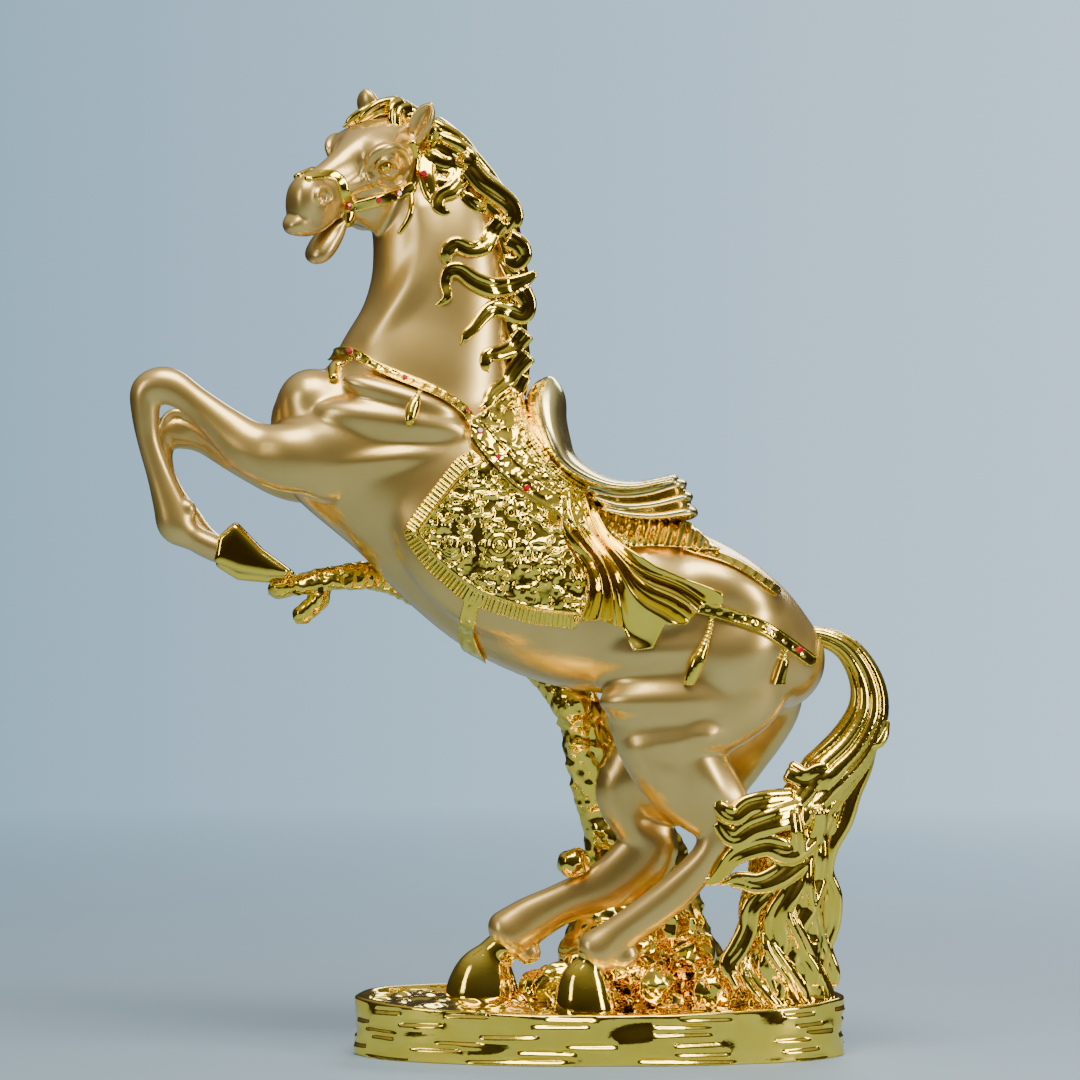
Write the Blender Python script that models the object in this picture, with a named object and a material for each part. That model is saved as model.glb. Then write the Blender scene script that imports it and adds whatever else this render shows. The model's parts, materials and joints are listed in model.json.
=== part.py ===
"""Rearing horse statue: a horse on its hind legs, cast in one with its tack, tree stump and log-slice base.

The figure is drawn on a sheet, side view, with its near side to the reader. Stations on the sheet are x to
the right and y down, in sheet squares, and depth is how far behind the horse's middle plane a point lies.
UNIT is the real size of one square. The form is built as a distance field on a grid, turned into a mesh and
thinned. Real sizes are in metres and the frame is +Z up, with its origin under the middle of the base.
"""

import math

import bmesh
import bpy
import numpy as np
import openvdb
from mathutils import Vector

# Driving sizes, in metres
STATUE_HEIGHT = 0.615
BASE_LENGTH = 0.316
BASE_DEPTH = 0.156
BASE_THICKNESS = 0.034
BASE_RISE = 0.004
BLANKET_FLAP = 0.0036
BLANKET_BAND = 0.0048
STRAP_RISE = 0.0022
BREAST_STRAP_WIDTH = 0.0064
CRUPPER_STRAP_WIDTH = 0.0084
GIRTH_STRAP_WIDTH = 0.0104
CROUP_ROPE_WIDTH = 0.006
STONE_RADIUS = 0.0027
STONE_TABLE = 0.0016
STONE_HEIGHT = 0.0021
STONE_SEAT = 0.0006
SEAT_GAP = 0.0003
GRID_STEP = 0.0021
STATUE_FACES = 8080

# The sheet: how many squares high the statue is drawn, and the eye that it is drawn from
SHEET_HEIGHT = 961.0
UNIT = STATUE_HEIGHT / SHEET_HEIGHT
EYE_DISTANCE = 4200.0
EYE_X = 540.0
EYE_Y = 540.0
EYE_HEIGHT = 512.0
SHEET_SHIFT = -60.0

FAR = 60.0

# Edges of the form on both sides, as drawn: x, y, opposite x, y, depth, half thickness across
TRUNK = [
    (326, 378, 305, 465, 0, 46),
    (352, 370, 328, 512, 0, 60),
    (405, 374, 362, 545, 0, 70),
    (462, 385, 402, 580, 0, 77),
    (508, 412, 442, 620, 0, 82),
    (546, 462, 484, 656, 0, 86),
    (602, 502, 534, 680, 0, 86),
    (662, 520, 596, 690, 0, 83),
    (716, 540, 656, 700, 0, 78),
    (762, 572, 702, 706, 0, 70),
    (795, 612, 752, 706, 0, 52),
]
NECK = [
    (394, 186, 446, 122, 8, 17),
    (388, 218, 456, 146, 6, 23),
    (380, 242, 474, 174, 4, 29),
    (378, 268, 492, 216, 1, 35),
    (372, 300, 505, 270, 0, 41),
    (358, 334, 512, 325, 0, 47),
    (336, 362, 515, 385, 0, 56),
    (318, 395, 508, 440, 0, 62),
]
NEAR_HIND_LEG = [
    (650, 590, 798, 630, -30, 40),
    (602, 655, 792, 674, -40, 37),
    (600, 700, 756, 714, -44, 34),
    (614, 735, 728, 744, -46, 29),
    (634, 770, 724, 764, -46, 25),
    (664, 802, 744, 788, -45, 21),
    (692, 826, 752, 812, -45, 17),
    (694, 850, 728, 852, -45, 15),
    (664, 877, 694, 900, -44, 13),
    (632, 902, 660, 928, -43, 13),
    (602, 923, 630, 950, -42, 14),
    (580, 936, 614, 968, -42, 17),
]
FAR_HIND_LEG = [
    (640, 600, 798, 640, 30, 40),
    (602, 665, 806, 690, 42, 38),
    (596, 710, 780, 735, 45, 34),
    (590, 750, 742, 772, 46, 28),
    (592, 785, 656, 782, 46, 24),
    (600, 812, 648, 804, 46, 20),
    (617, 836, 654, 824, 46, 17),
    (618, 850, 680, 846, 46, 16),
    (590, 867, 640, 900, 45, 14),
    (557, 882, 577, 921, 45, 13),
    (520, 898, 545, 940, 44, 14),
    (492, 914, 524, 956, 43, 18),
]
NEAR_FORELEG = [
    (372, 405, 385, 478, -46, 26),
    (330, 410, 345, 492, -50, 28),
    (286, 424, 300, 493, -50, 25),
    (262, 423, 248, 477, -48, 21),
    (236, 410, 222, 452, -45, 17),
    (203, 388, 190, 418, -42, 14),
    (172, 367, 164, 404, -40, 15),
    (134, 380, 160, 400, -38, 15),
    (131, 414, 160, 412, -37, 13),
    (137, 444, 161, 440, -36, 10),
    (147, 480, 172, 470, -35, 10),
    (154, 512, 187, 500, -34, 13),
    (161, 536, 193, 515, -33, 15),
    (182, 546, 202, 528, -31, 13),
    (212, 562, 222, 536, -29, 14),
]
FAR_FORELEG = [
    (372, 405, 385, 490, 46, 26),
    (330, 420, 338, 505, 50, 28),
    (288, 436, 296, 502, 50, 25),
    (262, 442, 246, 482, 48, 21),
    (238, 430, 221, 467, 44, 17),
    (208, 422, 196, 452, 40, 14),
    (184, 414, 178, 449, 37, 15),
    (150, 424, 172, 442, 35, 15),
    (147, 452, 173, 455, 33, 13),
    (152, 476, 176, 472, 31, 10),
    (162, 504, 187, 494, 28, 11),
    (172, 526, 202, 514, 24, 14),
    (185, 546, 212, 528, 20, 15),
    (212, 562, 226, 540, 17, 14),
]
NEAR_HIND_HOOF = [
    (578, 950, 600, 953, -42, 13),
    (577, 965, 602, 964, -42, 13),
    (560, 981, 609, 981, -42, 19),
    (555, 998, 614, 998, -42, 24),
    (553, 1014, 618, 1012, -42, 26),
]
FAR_HIND_HOOF = [
    (486, 940, 518, 956, 43, 15),
    (474, 953, 512, 962, 43, 15),
    (456, 970, 515, 974, 43, 20),
    (447, 986, 518, 987, 43, 24),
    (443, 1000, 521, 1000, 43, 26),
]

# Muscles on both sides: x, y, depth, half sizes along, across and up, tilt in degrees, and blend
MUSCLES = [
    (312, 403, 26, 34, 30, 34, 0, 12),
    (400, 397, 58, 60, 21, 15, -17, 7),
    (392, 421, 58, 74, 24, 21, -8, 8),
    (380, 460, 62, 66, 17, 13, 6, 7),
    (298, 456, 54, 38, 22, 26, -22, 10),
    (322, 486, 50, 20, 14, 13, -20, 8),
    (662, 700, 58, 62, 25, 20, 2, 10),
    (672, 742, 55, 46, 22, 16, 8, 9),
    (702, 735, 62, 17, 15, 12, 0, 10),
    (660, 650, 58, 60, 24, 18, 4, 14),
    (736, 652, 50, 48, 32, 36, 30, 12),
    (654, 765, 54, 20, 18, 34, 32, 9),
    (706, 775, 52, 15, 16, 36, 28, 9),
    (720, 590, 44, 60, 34, 34, -20, 9),
    (640, 590, 62, 60, 22, 40, -20, 14),
    (480, 560, 60, 90, 26, 60, -38, 14),
]
# Long raised forms on both sides: x, y, depth and thickness, with their blend
RIDGES = [
    ([(424, 212, 14, 13), (429, 246, 18, 16), (418, 284, 24, 18), (398, 314, 24, 17),
      (378, 340, 22, 14)], 9),
]
# Tendons inside the far foreleg, and the spurs behind the fetlocks
TENDONS = [
    [(161, 430, 24, 3), (165, 418, 24, 4), (176, 412, 24, 4.5), (192, 418, 26, 4.5),
     (216, 438, 30, 4), (228, 454, 32, 3)],
    [(163, 444, 26, 3), (167, 430, 26, 4), (178, 424, 26, 4.5), (196, 432, 28, 4.5),
     (220, 453, 32, 4), (234, 466, 34, 3)],
    [(166, 456, 30, 3), (170, 442, 30, 4), (182, 437, 30, 4.5), (200, 444, 32, 4.5), (226, 466, 36, 4)],
]
SPURS = [
    (190, 508, -34, 6, 9, 9, 30),
    (530, 955, 43, 12, 11, 9, 30),
    (626, 958, -42, 14, 11, 10, 30),
]

# The head has its own axes from the poll: along the face, up off the forehead and out to the near side
POLL = (393, 129, -6)
FACE_WAY = (-0.638, -0.525, -0.563)
CHEEK_WAY = (0.716, -0.673, -0.184)
HEAD_LONG = 0.945
HEAD_TALL = 1.05
HEAD_WIDE = 1.25
# Stations of the face: along, top, bottom, half width and the height where it is widest
FACE = [
    (-26, 0, -34, 8, -16),
    (-12, 10, -50, 19, -13),
    (8, 18, -54, 25, -9),
    (26, 22, -48, 28, -5),
    (45, 23, -42, 28, -5),
    (62, 21, -38, 21, -8),
    (80, 18, -36, 15.5, -10),
    (100, 17, -36, 13, -10),
    (118, 18, -35, 12.5, -8),
    (132, 20, -33, 15, -5),
    (143, 18, -31, 15, -5),
    (152, 12, -28, 13, -7),
    (159, 2, -26, 10, -10),
    (163, -8, -22, 5, -13),
]
UPPER_LIP = [
    (112, -12, -37, 10, -24),
    (132, -8, -37, 13, -24),
    (150, -5, -35, 13, -22),
    (162, -6, -30, 11.5, -18),
    (171, -9, -24, 8, -16),
    (176, -13, -19, 3, -16),
]
# Stations of round forms of the head: along, up, out and the radii up and out
LOWER_JAW = [
    (70, -52, 0, 16, 15),
    (92, -41, 0, 12, 12),
    (110, -42, 0, 9, 11),
    (124, -49, 0, 10, 12),
    (139, -54, 0, 11, 13),
    (150, -57, 0, 9, 11.5),
    (157, -58, 0, 4, 6),
]
MOUTH = [(112, -38, 0, 1.2, 20), (135, -38.5, 0, 1.8, 20), (170, -36, 0, 4, 20)]

# The eye, the raised lines round it and the nostril, as drawn on the near cheek: x, y and half thickness
EYE = (386, 166, 6)
EYE_LINES = [
    [(375, 171, 1.2), (379, 163, 2.0), (386, 159.5, 2.4), (393, 162, 2.0), (398, 170, 1.2)],
    [(375, 171, 1.2), (381, 176, 1.7), (389, 176, 1.7), (398, 170, 1.2)],
    [(367, 168, 2), (371, 156, 3.6), (381, 149, 4.6), (393, 147, 4.6), (403, 153, 4), (408, 164, 2.6)],
    [(366, 166, 1.6), (363, 173, 2.2), (365, 180, 2.4), (371, 187, 1.6)],
    [(375, 182, 1.4), (387, 187, 2.2), (400, 183, 2.4), (408, 173, 1.8)],
]
NOSTRIL = (323, 198)
NOSTRIL_LINE = [
    (319, 204, 1.2), (316, 197, 1.9), (319, 190, 2.2), (326, 188, 2.2), (331, 193, 2.0), (331, 200, 1.6),
    (326, 203, 1.2), (323, 199, 1.0),
]
EARS = [
    ((10, 12, -12), (7, 28, -13), (3, 42, -14), (0.5, 0.8, 0.1)),
    ((3, -12, 18), (-10, 6, 27), (-24, 20, 34), (-0.45, -0.88, 0.0)),
]
FORELOCKS = [
    [(-6, 20, -2, 8), (4, 24, -4, 8), (14, 25, -7, 7), (24, 25, -11, 6), (33, 24, -15, 5), (42, 22, -18, 3)],
    [(-8, 22, 4, 8), (4, 27, 1, 7), (14, 27, -2, 6), (24, 25, -6, 5), (32, 23, -10, 3)],
    [(-10, 20, 8, 8), (0, 23, 10, 7), (8, 18, 13, 6), (12, 10, 15, 5), (18, 4, 18, 4),
     (26, 2, 20, 3), (30, -2, 21, 2)],
    [(-16, 12, 10, 8), (-6, 16, 12, 7), (2, 12, 15, 6), (8, 4, 17, 5), (14, 2, 19, 3)],
    [(-12, 16, -2, 9), (-18, 8, 4, 11), (-24, -4, 9, 12), (-28, -14, 12, 10)],
]

# Straps of the bridle, as drawn on the near cheek: x, y and half width
BRIDLE = [
    [(309, 178, 4.8), (316, 175.5, 5.3), (325, 175, 5.6), (334, 176, 5.9), (341, 182, 5.9), (345, 195, 6.2),
     (349, 208, 6.4), (349, 222, 5.6)],
    [(349, 208, 5.9), (360, 205, 6.4), (376, 201, 6.7), (391, 196, 6.7), (402, 192, 6.4), (411, 188, 6.2)],
    [(411, 189, 4.5), (414, 180, 4.8), (416, 168, 4.8), (416, 156, 4.5), (413, 143, 4.2)],
    [(411, 190, 2.8), (412, 200, 3.4), (411, 211, 3.4), (407, 222, 3.4), (400, 232, 3.1)],
]

# Middles of round forms, as drawn: x, y, depth, half thickness in the sheet, half thickness across
TAIL = [
    (797, 636, -2, 9, 9),
    (822, 637, -2, 10, 11),
    (848, 650, -2, 13, 14),
    (866, 680, -2, 17, 17),
    (868, 712, -4, 21, 20),
    (852, 745, -8, 25, 24),
    (826, 776, -14, 29, 27),
    (806, 808, -18, 33, 30),
    (792, 842, -18, 38, 32),
    (788, 880, -14, 42, 32),
    (786, 920, -10, 44, 34),
    (782, 960, -8, 50, 38),
    (778, 1000, -6, 56, 42),
]
SADDLE = [
    (549, 385, 0, 9, 20),
    (546, 401, 0, 20, 34),
    (547, 421, 0, 20, 50),
    (553, 442, 0, 18, 60),
    (563, 461, 0, 14, 64),
    (581, 475, 0, 11, 67),
    (606, 485, 0, 8, 69),
    (632, 487, 0, 6, 70),
    (655, 483, 0, 5, 68),
    (673, 479, 0, 5, 62),
]
CANTLE_FOLDS = [
    [(586, 489, 0, 4, 58), (616, 496, 0, 5, 62), (645, 494, 0, 6, 62), (672, 486, 0, 7, 60),
     (682, 484, 0, 5, 54)],
    [(592, 498, 0, 4, 62), (620, 506, 0, 6, 66), (650, 505, 0, 7, 66), (680, 498, 0, 8, 62),
     (688, 497, 0, 5, 56)],
    [(600, 509, 0, 3, 66), (628, 515, 0, 6, 70), (656, 516, 0, 7, 69), (684, 512, 0, 9, 63),
     (693, 513, 0, 5, 56)],
]
MANE_CREST = [
    (434, 128, 0, 12, 16),
    (456, 148, 0, 14, 20),
    (474, 172, 0, 14, 20),
    (492, 198, 0, 15, 20),
    (502, 222, 0, 14, 18),
    (506, 250, 0, 14, 18),
    (512, 278, 0, 14, 20),
    (510, 305, 0, 14, 20),
    (513, 335, 0, 13, 20),
    (517, 362, 0, 12, 20),
    (514, 392, 0, 12, 22),
    (500, 415, 0, 10, 30),
]
TREE = [
    (568, 668, 52, 17, 18),
    (580, 715, 62, 22, 22),
    (596, 765, 72, 26, 24),
    (622, 812, 78, 38, 26),
    (636, 860, 78, 50, 28),
    (638, 905, 72, 60, 32),
    (638, 950, 62, 78, 42),
    (640, 1000, 52, 98, 54),
]
BRANCH = [
    (278, 589, 0, 9, 9),
    (304, 584, 2, 10, 10),
    (345, 578, 12, 12, 12),
    (385, 577, 34, 14, 14),
    (425, 594, 62, 15, 15),
    (470, 620, 84, 16, 15),
    (520, 650, 86, 17, 16),
    (552, 676, 66, 18, 18),
    (575, 705, 46, 20, 20),
]
TWIG = [
    (322, 584, 4, 9, 9),
    (318, 600, 2, 9, 9),
    (302, 614, 0, 9, 9),
]
KNOTS = [
    (574, 862, 34, 13),
    (560, 985, 0, 22),
    (540, 990, 30, 18),
    (690, 955, 10, 22),
    (712, 992, -14, 20),
    (655, 985, -38, 18),
    (622, 965, -20, 22),
    (672, 925, -8, 22),
]

# Locks of the mane on each side, by x, y and half thickness: they lie on the neck
MANE_LOCKS = [
    [(420, 140, 5), (430, 134, 8), (441, 142, 9), (455, 153, 9), (468, 158, 8), (476, 172, 6)],
    [(424, 152, 5), (432, 160, 8), (444, 166, 8), (456, 166, 8), (464, 176, 7), (462, 188, 5)],
    [(462, 180, 8), (452, 190, 7), (441, 196, 6), (438, 206, 5), (446, 213, 3.5), (450, 212, 2)],
    [(432, 148, 6), (446, 154, 8), (456, 165, 8), (456, 178, 7), (447, 186, 6), (438, 181, 5),
     (440, 173, 4)],
    [(427, 158, 6), (426, 174, 7), (430, 190, 7), (437, 202, 6), (443, 212, 4), (450, 212, 3)],
    [(470, 168, 8), (482, 182, 9), (496, 192, 9), (510, 204, 8), (515, 218, 7), (508, 230, 6)],
    [(508, 210, 8), (492, 211, 8), (478, 207, 7), (468, 199, 6), (462, 190, 4)],
    [(500, 222, 7), (491, 234, 8), (484, 246, 8), (470, 250, 7), (456, 245, 7), (447, 252, 6), (447, 262, 4),
     (454, 267, 3)],
    [(510, 240, 8), (520, 246, 8), (524, 256, 7), (517, 264, 6), (509, 260, 5), (510, 253, 3)],
    [(535, 273, 3), (523, 281, 6), (509, 286, 8), (492, 288, 9), (474, 281, 8), (460, 271, 7), (449, 272, 6),
     (445, 284, 5), (447, 296, 4.5), (440, 303, 3), (434, 306, 2)],
    [(522, 292, 8), (528, 304, 7), (524, 316, 7), (510, 312, 8), (494, 309, 7), (484, 316, 6), (474, 328, 5),
     (466, 335, 4.5), (461, 345, 2.5)],
    [(524, 334, 8), (514, 346, 8), (500, 353, 7), (488, 356, 6), (485, 367, 4), (489, 372, 2.5)],
    [(526, 356, 8), (516, 368, 8), (506, 382, 7), (494, 392, 6), (488, 402, 5), (480, 408, 3)],
    [(522, 376, 7), (514, 392, 8), (502, 402, 7), (492, 412, 6), (480, 418, 4)],
]
# Locks of the tail, by x, y, depth and half thickness
TAIL_LOCKS = [
    [(790, 800, -40, 10), (768, 802, -52, 10), (748, 806, -60, 9), (735, 816, -64, 8), (724, 812, -65, 7),
     (720, 804, -64, 5), (727, 801, -62, 3)],
    [(800, 812, -40, 11), (776, 820, -54, 11), (752, 828, -60, 10), (734, 838, -62, 9), (722, 828, -62, 7),
     (718, 816, -62, 5)],
    [(812, 830, -36, 12), (790, 850, -48, 12), (768, 846, -56, 10), (750, 850, -60, 9), (733, 858, -60, 8),
     (722, 872, -58, 6), (712, 880, -54, 5), (697, 878, -50, 3)],
    [(800, 856, -40, 12), (778, 876, -50, 11), (758, 884, -54, 9), (738, 880, -54, 7), (722, 884, -52, 5)],
    [(884, 722, -8, 8), (876, 738, -16, 9), (858, 742, -22, 9), (850, 754, -24, 8), (848, 770, -22, 8),
     (836, 782, -24, 8)],
    [(866, 742, -2, 9), (860, 766, -6, 10), (850, 792, -10, 10), (842, 820, -12, 10), (828, 846, -14, 10),
     (824, 872, -12, 9), (832, 896, -10, 9), (830, 924, -8, 9), (822, 948, -8, 9), (832, 975, -8, 7),
     (826, 996, -8, 5)],
    [(790, 772, -30, 9), (806, 778, -36, 9), (820, 772, -36, 8), (834, 776, -32, 7)],
    [(800, 870, -38, 10), (788, 896, -44, 10), (776, 918, -44, 10), (778, 944, -42, 10), (768, 968, -44, 9),
     (774, 992, -44, 7)],
    [(815, 880, -30, 9), (806, 908, -36, 10), (796, 930, -38, 10), (800, 955, -36, 9), (812, 975, -34, 8),
     (806, 996, -34, 6)],
    [(768, 890, -36, 9), (752, 908, -38, 9), (748, 930, -38, 9), (738, 950, -40, 9), (728, 966, -42, 8),
     (736, 986, -44, 7)],
]

# Outlines of flat pieces laid on the back, as drawn on the near side
FLAP = [
    (473, 449), (456, 459), (407, 522), (404, 534), (409, 547), (427, 570), (461, 599), (490, 612),
    (532, 624), (574, 629), (584, 616), (588, 600), (584, 573), (566, 543), (556, 512),
    (514, 488), (487, 461),
]
BAND = [
    (470, 420), (512, 390), (534, 388), (536, 424), (552, 452), (578, 478), (600, 500), (575, 530),
    (556, 514),
    (514, 489), (487, 462), (471, 441),
]
SKIRT = [
    (590, 505), (640, 505), (690, 520), (722, 550), (690, 548), (655, 546), (630, 547), (606, 528),
]
DRAPE = [
    (564, 484), (590, 492), (607, 528), (628, 547), (654, 565), (682, 577), (722, 592), (722, 604),
    (700, 606), (686, 624), (664, 624), (652, 648), (632, 650), (622, 628), (600, 620), (574, 622),
    (585, 602), (587, 583), (583, 565), (570, 546), (561, 528), (559, 509),
]
DRAPE_LEFT = [(562, 484), (556, 509), (558, 530), (568, 548), (582, 566), (586, 585), (583, 604), (576, 624)]
DRAPE_RIGHT = [(590, 490), (607, 526), (628, 545), (654, 563), (682, 575), (724, 592)]
DRAPE_FOLDS = 5.2
DRAPE_RISE = 0.0042
NEAR_FORE_HOOF = [
    (218, 537), (236, 521), (263, 549), (293, 571), (286, 577), (268, 577), (240, 572), (214, 562),
]
FAR_FORE_HOOF = [
    (218, 545), (240, 530), (265, 552), (296, 573), (288, 582), (270, 583), (238, 580), (216, 566),
]
DRAWN_DEPTH = -60

# Middle lines of the straps, as drawn on the near side
BREAST_STRAP = [
    (322, 354), (334, 350), (348, 350), (362, 357), (376, 366), (402, 377), (425, 386), (448, 397),
    (466, 411), (474, 424),
]
CRUPPER_STRAP = [(683, 603), (720, 612), (765, 628), (812, 660)]
GIRTH_STRAP = [(474, 596), (468, 618), (466, 640), (478, 668)]
CROUP_ROPE = [(686, 546), (735, 562), (778, 590)]

# Tassels hang on the coat: x, y and half thickness of each bead
TASSELS = [
    [(352, 358, 3), (345, 363, 3), (336, 368, 7), (334, 378, 6)],
    [(421, 388, 3), (417, 398, 4), (413, 408, 7), (410, 420, 5), (408, 427, 2)],
    [(712, 616, 3), (709, 632, 4), (704, 646, 5), (697, 662, 8), (690, 680, 6), (687, 688, 2)],
    [(785, 646, 3), (784, 662, 5), (780, 676, 6), (776, 692, 8), (772, 702, 4)],
]

# Where the red stones sit, as drawn: on the tack of each side, and on the bridle of each cheek
TACK_STONES = {
    "breast_upper": (350, 351),
    "breast_middle": (405, 378),
    "breast_lower": (467, 411),
    "band_upper": (480, 431),
    "band_middle": (498, 457),
    "band_lower": (527, 488),
    "crupper_front": (714, 611),
    "crupper_middle": (768, 630),
    "crupper_rear": (800, 650),
}
BRIDLE_STONES = {
    "bridle_ring": (349, 207),
    "bridle_cheek": (377, 200),
    "bridle_jaw": (397, 193),
    "bridle_temple": (415, 172),
}


def at(x, y, depth):
    """The place in the frame, in squares, of a point drawn at x, y."""
    grow = 1 + depth / EYE_DISTANCE
    return np.array([(x - EYE_X) * grow + SHEET_SHIFT, depth, (EYE_Y - y) * grow + EYE_HEIGHT])


def from_edges(rows):
    """Stations with their radii, from rows of opposite edges."""
    stations = []
    for x1, y1, x2, y2, depth, across in rows:
        middle = at((x1 + x2) / 2, (y1 + y2) / 2, depth)
        stations.append((*middle, math.hypot(x1 - x2, y1 - y2) / 2, across))
    return stations


def from_middles(rows):
    """Stations with their radii, from rows of middles."""
    return [(*at(x, y, depth), radius, across) for x, y, depth, radius, across in rows]


def unit(vector):
    return np.asarray(vector, float) / np.linalg.norm(vector)


POLL_AT = at(*POLL)
FACEWARD = unit(FACE_WAY)
CHEEKWARD = unit(np.array(CHEEK_WAY) - FACEWARD * (FACEWARD @ np.array(CHEEK_WAY)))
BROWWARD = np.cross(FACEWARD, CHEEKWARD)

HEAD_AXES = (FACEWARD * HEAD_LONG, BROWWARD * HEAD_TALL, CHEEKWARD * HEAD_WIDE)


def on_head(along, up, out):
    """The place of a point given by the head's own axes."""
    return POLL_AT + HEAD_AXES[0] * along + HEAD_AXES[1] * up + HEAD_AXES[2] * out


def from_head(places):
    """Grid coordinates by the head's own axes."""
    offsets = [places[n] - POLL_AT[n] for n in range(3)]
    return [sum(axis[n] * offsets[n] for n in range(3)) / (axis @ axis) for axis in HEAD_AXES]


def smooth_min(a, b, blend):
    if blend <= 0:
        return np.minimum(a, b)
    near = np.maximum(blend - np.abs(a - b), 0.0) / blend
    return np.minimum(a, b) - near * near * blend * 0.25


def smooth_max(a, b, blend):
    return -smooth_min(-a, -b, blend)


def spline(points, steps):
    """A smooth line through rows of numbers, with so many steps to a span."""
    p = np.asarray(points, float)
    q = np.vstack([2 * p[0] - p[1], p, 2 * p[-1] - p[-2]])
    t = (np.arange(steps) / steps)[:, None]
    spans = []
    for a, b, c, d in zip(q[:-3], q[1:-2], q[2:-1], q[3:]):
        bend = (2 * a - 5 * b + 4 * c - d) * t**2 + (3 * b - a - 3 * c + d) * t**3
        spans.append(0.5 * (2 * b + (c - a) * t + bend))
    return np.vstack(spans + [p[-1:]])


def outline_distance(points, x, z):
    """Distance to a closed outline, negative inside it."""
    p = np.asarray(points, float)
    nearest = np.full(x.shape, 1e9)
    inside = np.zeros(x.shape, bool)
    for (x1, z1), (x2, z2) in zip(p, np.roll(p, -1, 0)):
        ex = x2 - x1
        ez = z2 - z1
        t = np.clip(((x - x1) * ex + (z - z1) * ez) / (ex * ex + ez * ez), 0, 1)
        nearest = np.minimum(nearest, (x - x1 - ex * t) ** 2 + (z - z1 - ez * t) ** 2)
        if z1 != z2:
            inside ^= ((z1 > z) != (z2 > z)) & (x < ex * (z - z1) / ez + x1)
    return np.where(inside, -1, 1) * np.sqrt(nearest)


def line_distance(points, x, z):
    """Distance to an open line."""
    p = np.asarray(points, float)
    nearest = np.full(x.shape, 1e9)
    for (x1, z1), (x2, z2) in zip(p[:-1], p[1:]):
        ex = x2 - x1
        ez = z2 - z1
        t = np.clip(((x - x1) * ex + (z - z1) * ez) / (ex * ex + ez * ez), 0, 1)
        nearest = np.minimum(nearest, np.hypot(x - x1 - ex * t, z - z1 - ez * t))
    return nearest


class Lumps:
    """Smooth random lumps of any size, the same at each run."""

    def __init__(self, seed):
        self.lattice = np.random.default_rng(seed).random((32, 32, 32), np.float32) * 2 - 1

    def at(self, places, size):
        found = self.lattice
        for n, axis in enumerate(places):
            spot = axis.ravel() / size
            cell = np.floor(spot).astype(int)
            share = (spot - cell).astype(np.float32)
            share = (share * share * (3 - 2 * share)).reshape([-1 if k == n else 1 for k in range(3)])
            found = np.take(found, cell % 32, n) * (1 - share) + np.take(found, (cell + 1) % 32, n) * share
        return found


ROCK = Lumps(7)


class Clay:
    """The form as a distance field on a grid, negative inside, in sheet squares."""

    def __init__(self, low, high, step):
        self.step = step
        self.low = np.asarray(low, float)
        self.axes = [np.arange(a, b, step) for a, b in zip(low, high)]
        self.field = np.full([len(axis) for axis in self.axes], FAR, np.float32)

    def copy(self):
        made = Clay.__new__(Clay)
        made.step, made.low, made.axes, made.field = self.step, self.low, self.axes, self.field.copy()
        return made

    def window(self, low, high):
        """The slices of the grid between two corners, and the coordinates there."""
        cuts = []
        places = []
        for number, axis in enumerate(self.axes):
            cut = slice(int(np.searchsorted(axis, low[number])), int(np.searchsorted(axis, high[number])))
            shape = [1, 1, 1]
            shape[number] = -1
            cuts.append(cut)
            places.append(axis[cut].reshape(shape))
        return tuple(cuts), places

    def mix(self, shape, join, blend):
        low, high, field_of = shape
        reach = max(blend, 1.0) + 2 * self.step
        cuts, places = self.window(np.asarray(low) - reach, np.asarray(high) + reach)
        if all(cut.stop > cut.start for cut in cuts):
            self.field[cuts] = join(self.field[cuts], field_of(self, cuts, places), blend)

    def add(self, shape, blend=0.0):
        self.mix(shape, smooth_min, blend)

    def cut(self, shape, blend=0.0):
        self.mix(shape, lambda a, b, k: smooth_max(a, -b, k), blend)

    def soften(self, passes):
        """Evens out the ridges where stations meet."""
        for _ in range(passes):
            for axis in range(3):
                before = np.roll(self.field, 1, axis)
                after = np.roll(self.field, -1, axis)
                self.field = 0.25 * before + 0.5 * self.field + 0.25 * after

    def skin(self, side):
        """Depth of the outer surface over the sheet on one side (-1 near, 1 far), or nan."""
        solid = self.field < 0
        rows = solid if side < 0 else solid[:, ::-1]
        first = rows.argmax(1)
        axis = self.axes[1] if side < 0 else self.axes[1][::-1]
        return np.where(rows.any(1), axis[first], np.nan)

    def slope(self, place):
        """Which way the surface faces near a place."""
        index = [int(round((p - a) / self.step)) for p, a in zip(place, self.low)]
        block = self.field[tuple(slice(i - 2, i + 3) for i in index)]
        grade = np.array([g.mean() for g in np.gradient(block)])
        return unit(grade)


def ellipsoid(centre, radii, axes):
    centre = np.asarray(centre, float)
    axes = np.asarray(axes, float)
    radii = np.asarray(radii, float)
    reach = np.sqrt(((axes * radii[:, None]) ** 2).sum(0))

    def field_of(clay, cuts, places):
        near = 0
        far = 0
        for axis, radius in zip(axes, radii):
            along = sum(axis[n] * (places[n] - centre[n]) for n in range(3))
            near = near + (along / radius) ** 2
            far = far + (along / radius**2) ** 2
        near = np.sqrt(near)
        return near * (near - 1) / np.sqrt(np.maximum(far, 1e-12))

    return centre - reach, centre + reach, field_of


def muscle(x, y, depth, along, across, up, tilt):
    turn = math.radians(tilt)
    axes = [(math.cos(turn), 0, math.sin(turn)), (0, 1, 0), (-math.sin(turn), 0, math.cos(turn))]
    return ellipsoid(at(x, y, depth), (along, across, up), axes)


def head_ball(along, up, out, *radii):
    sizes = np.array(radii) * (HEAD_LONG, HEAD_TALL, HEAD_WIDE)
    return ellipsoid(on_head(along, up, out), sizes, [FACEWARD, BROWWARD, CHEEKWARD])


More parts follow.
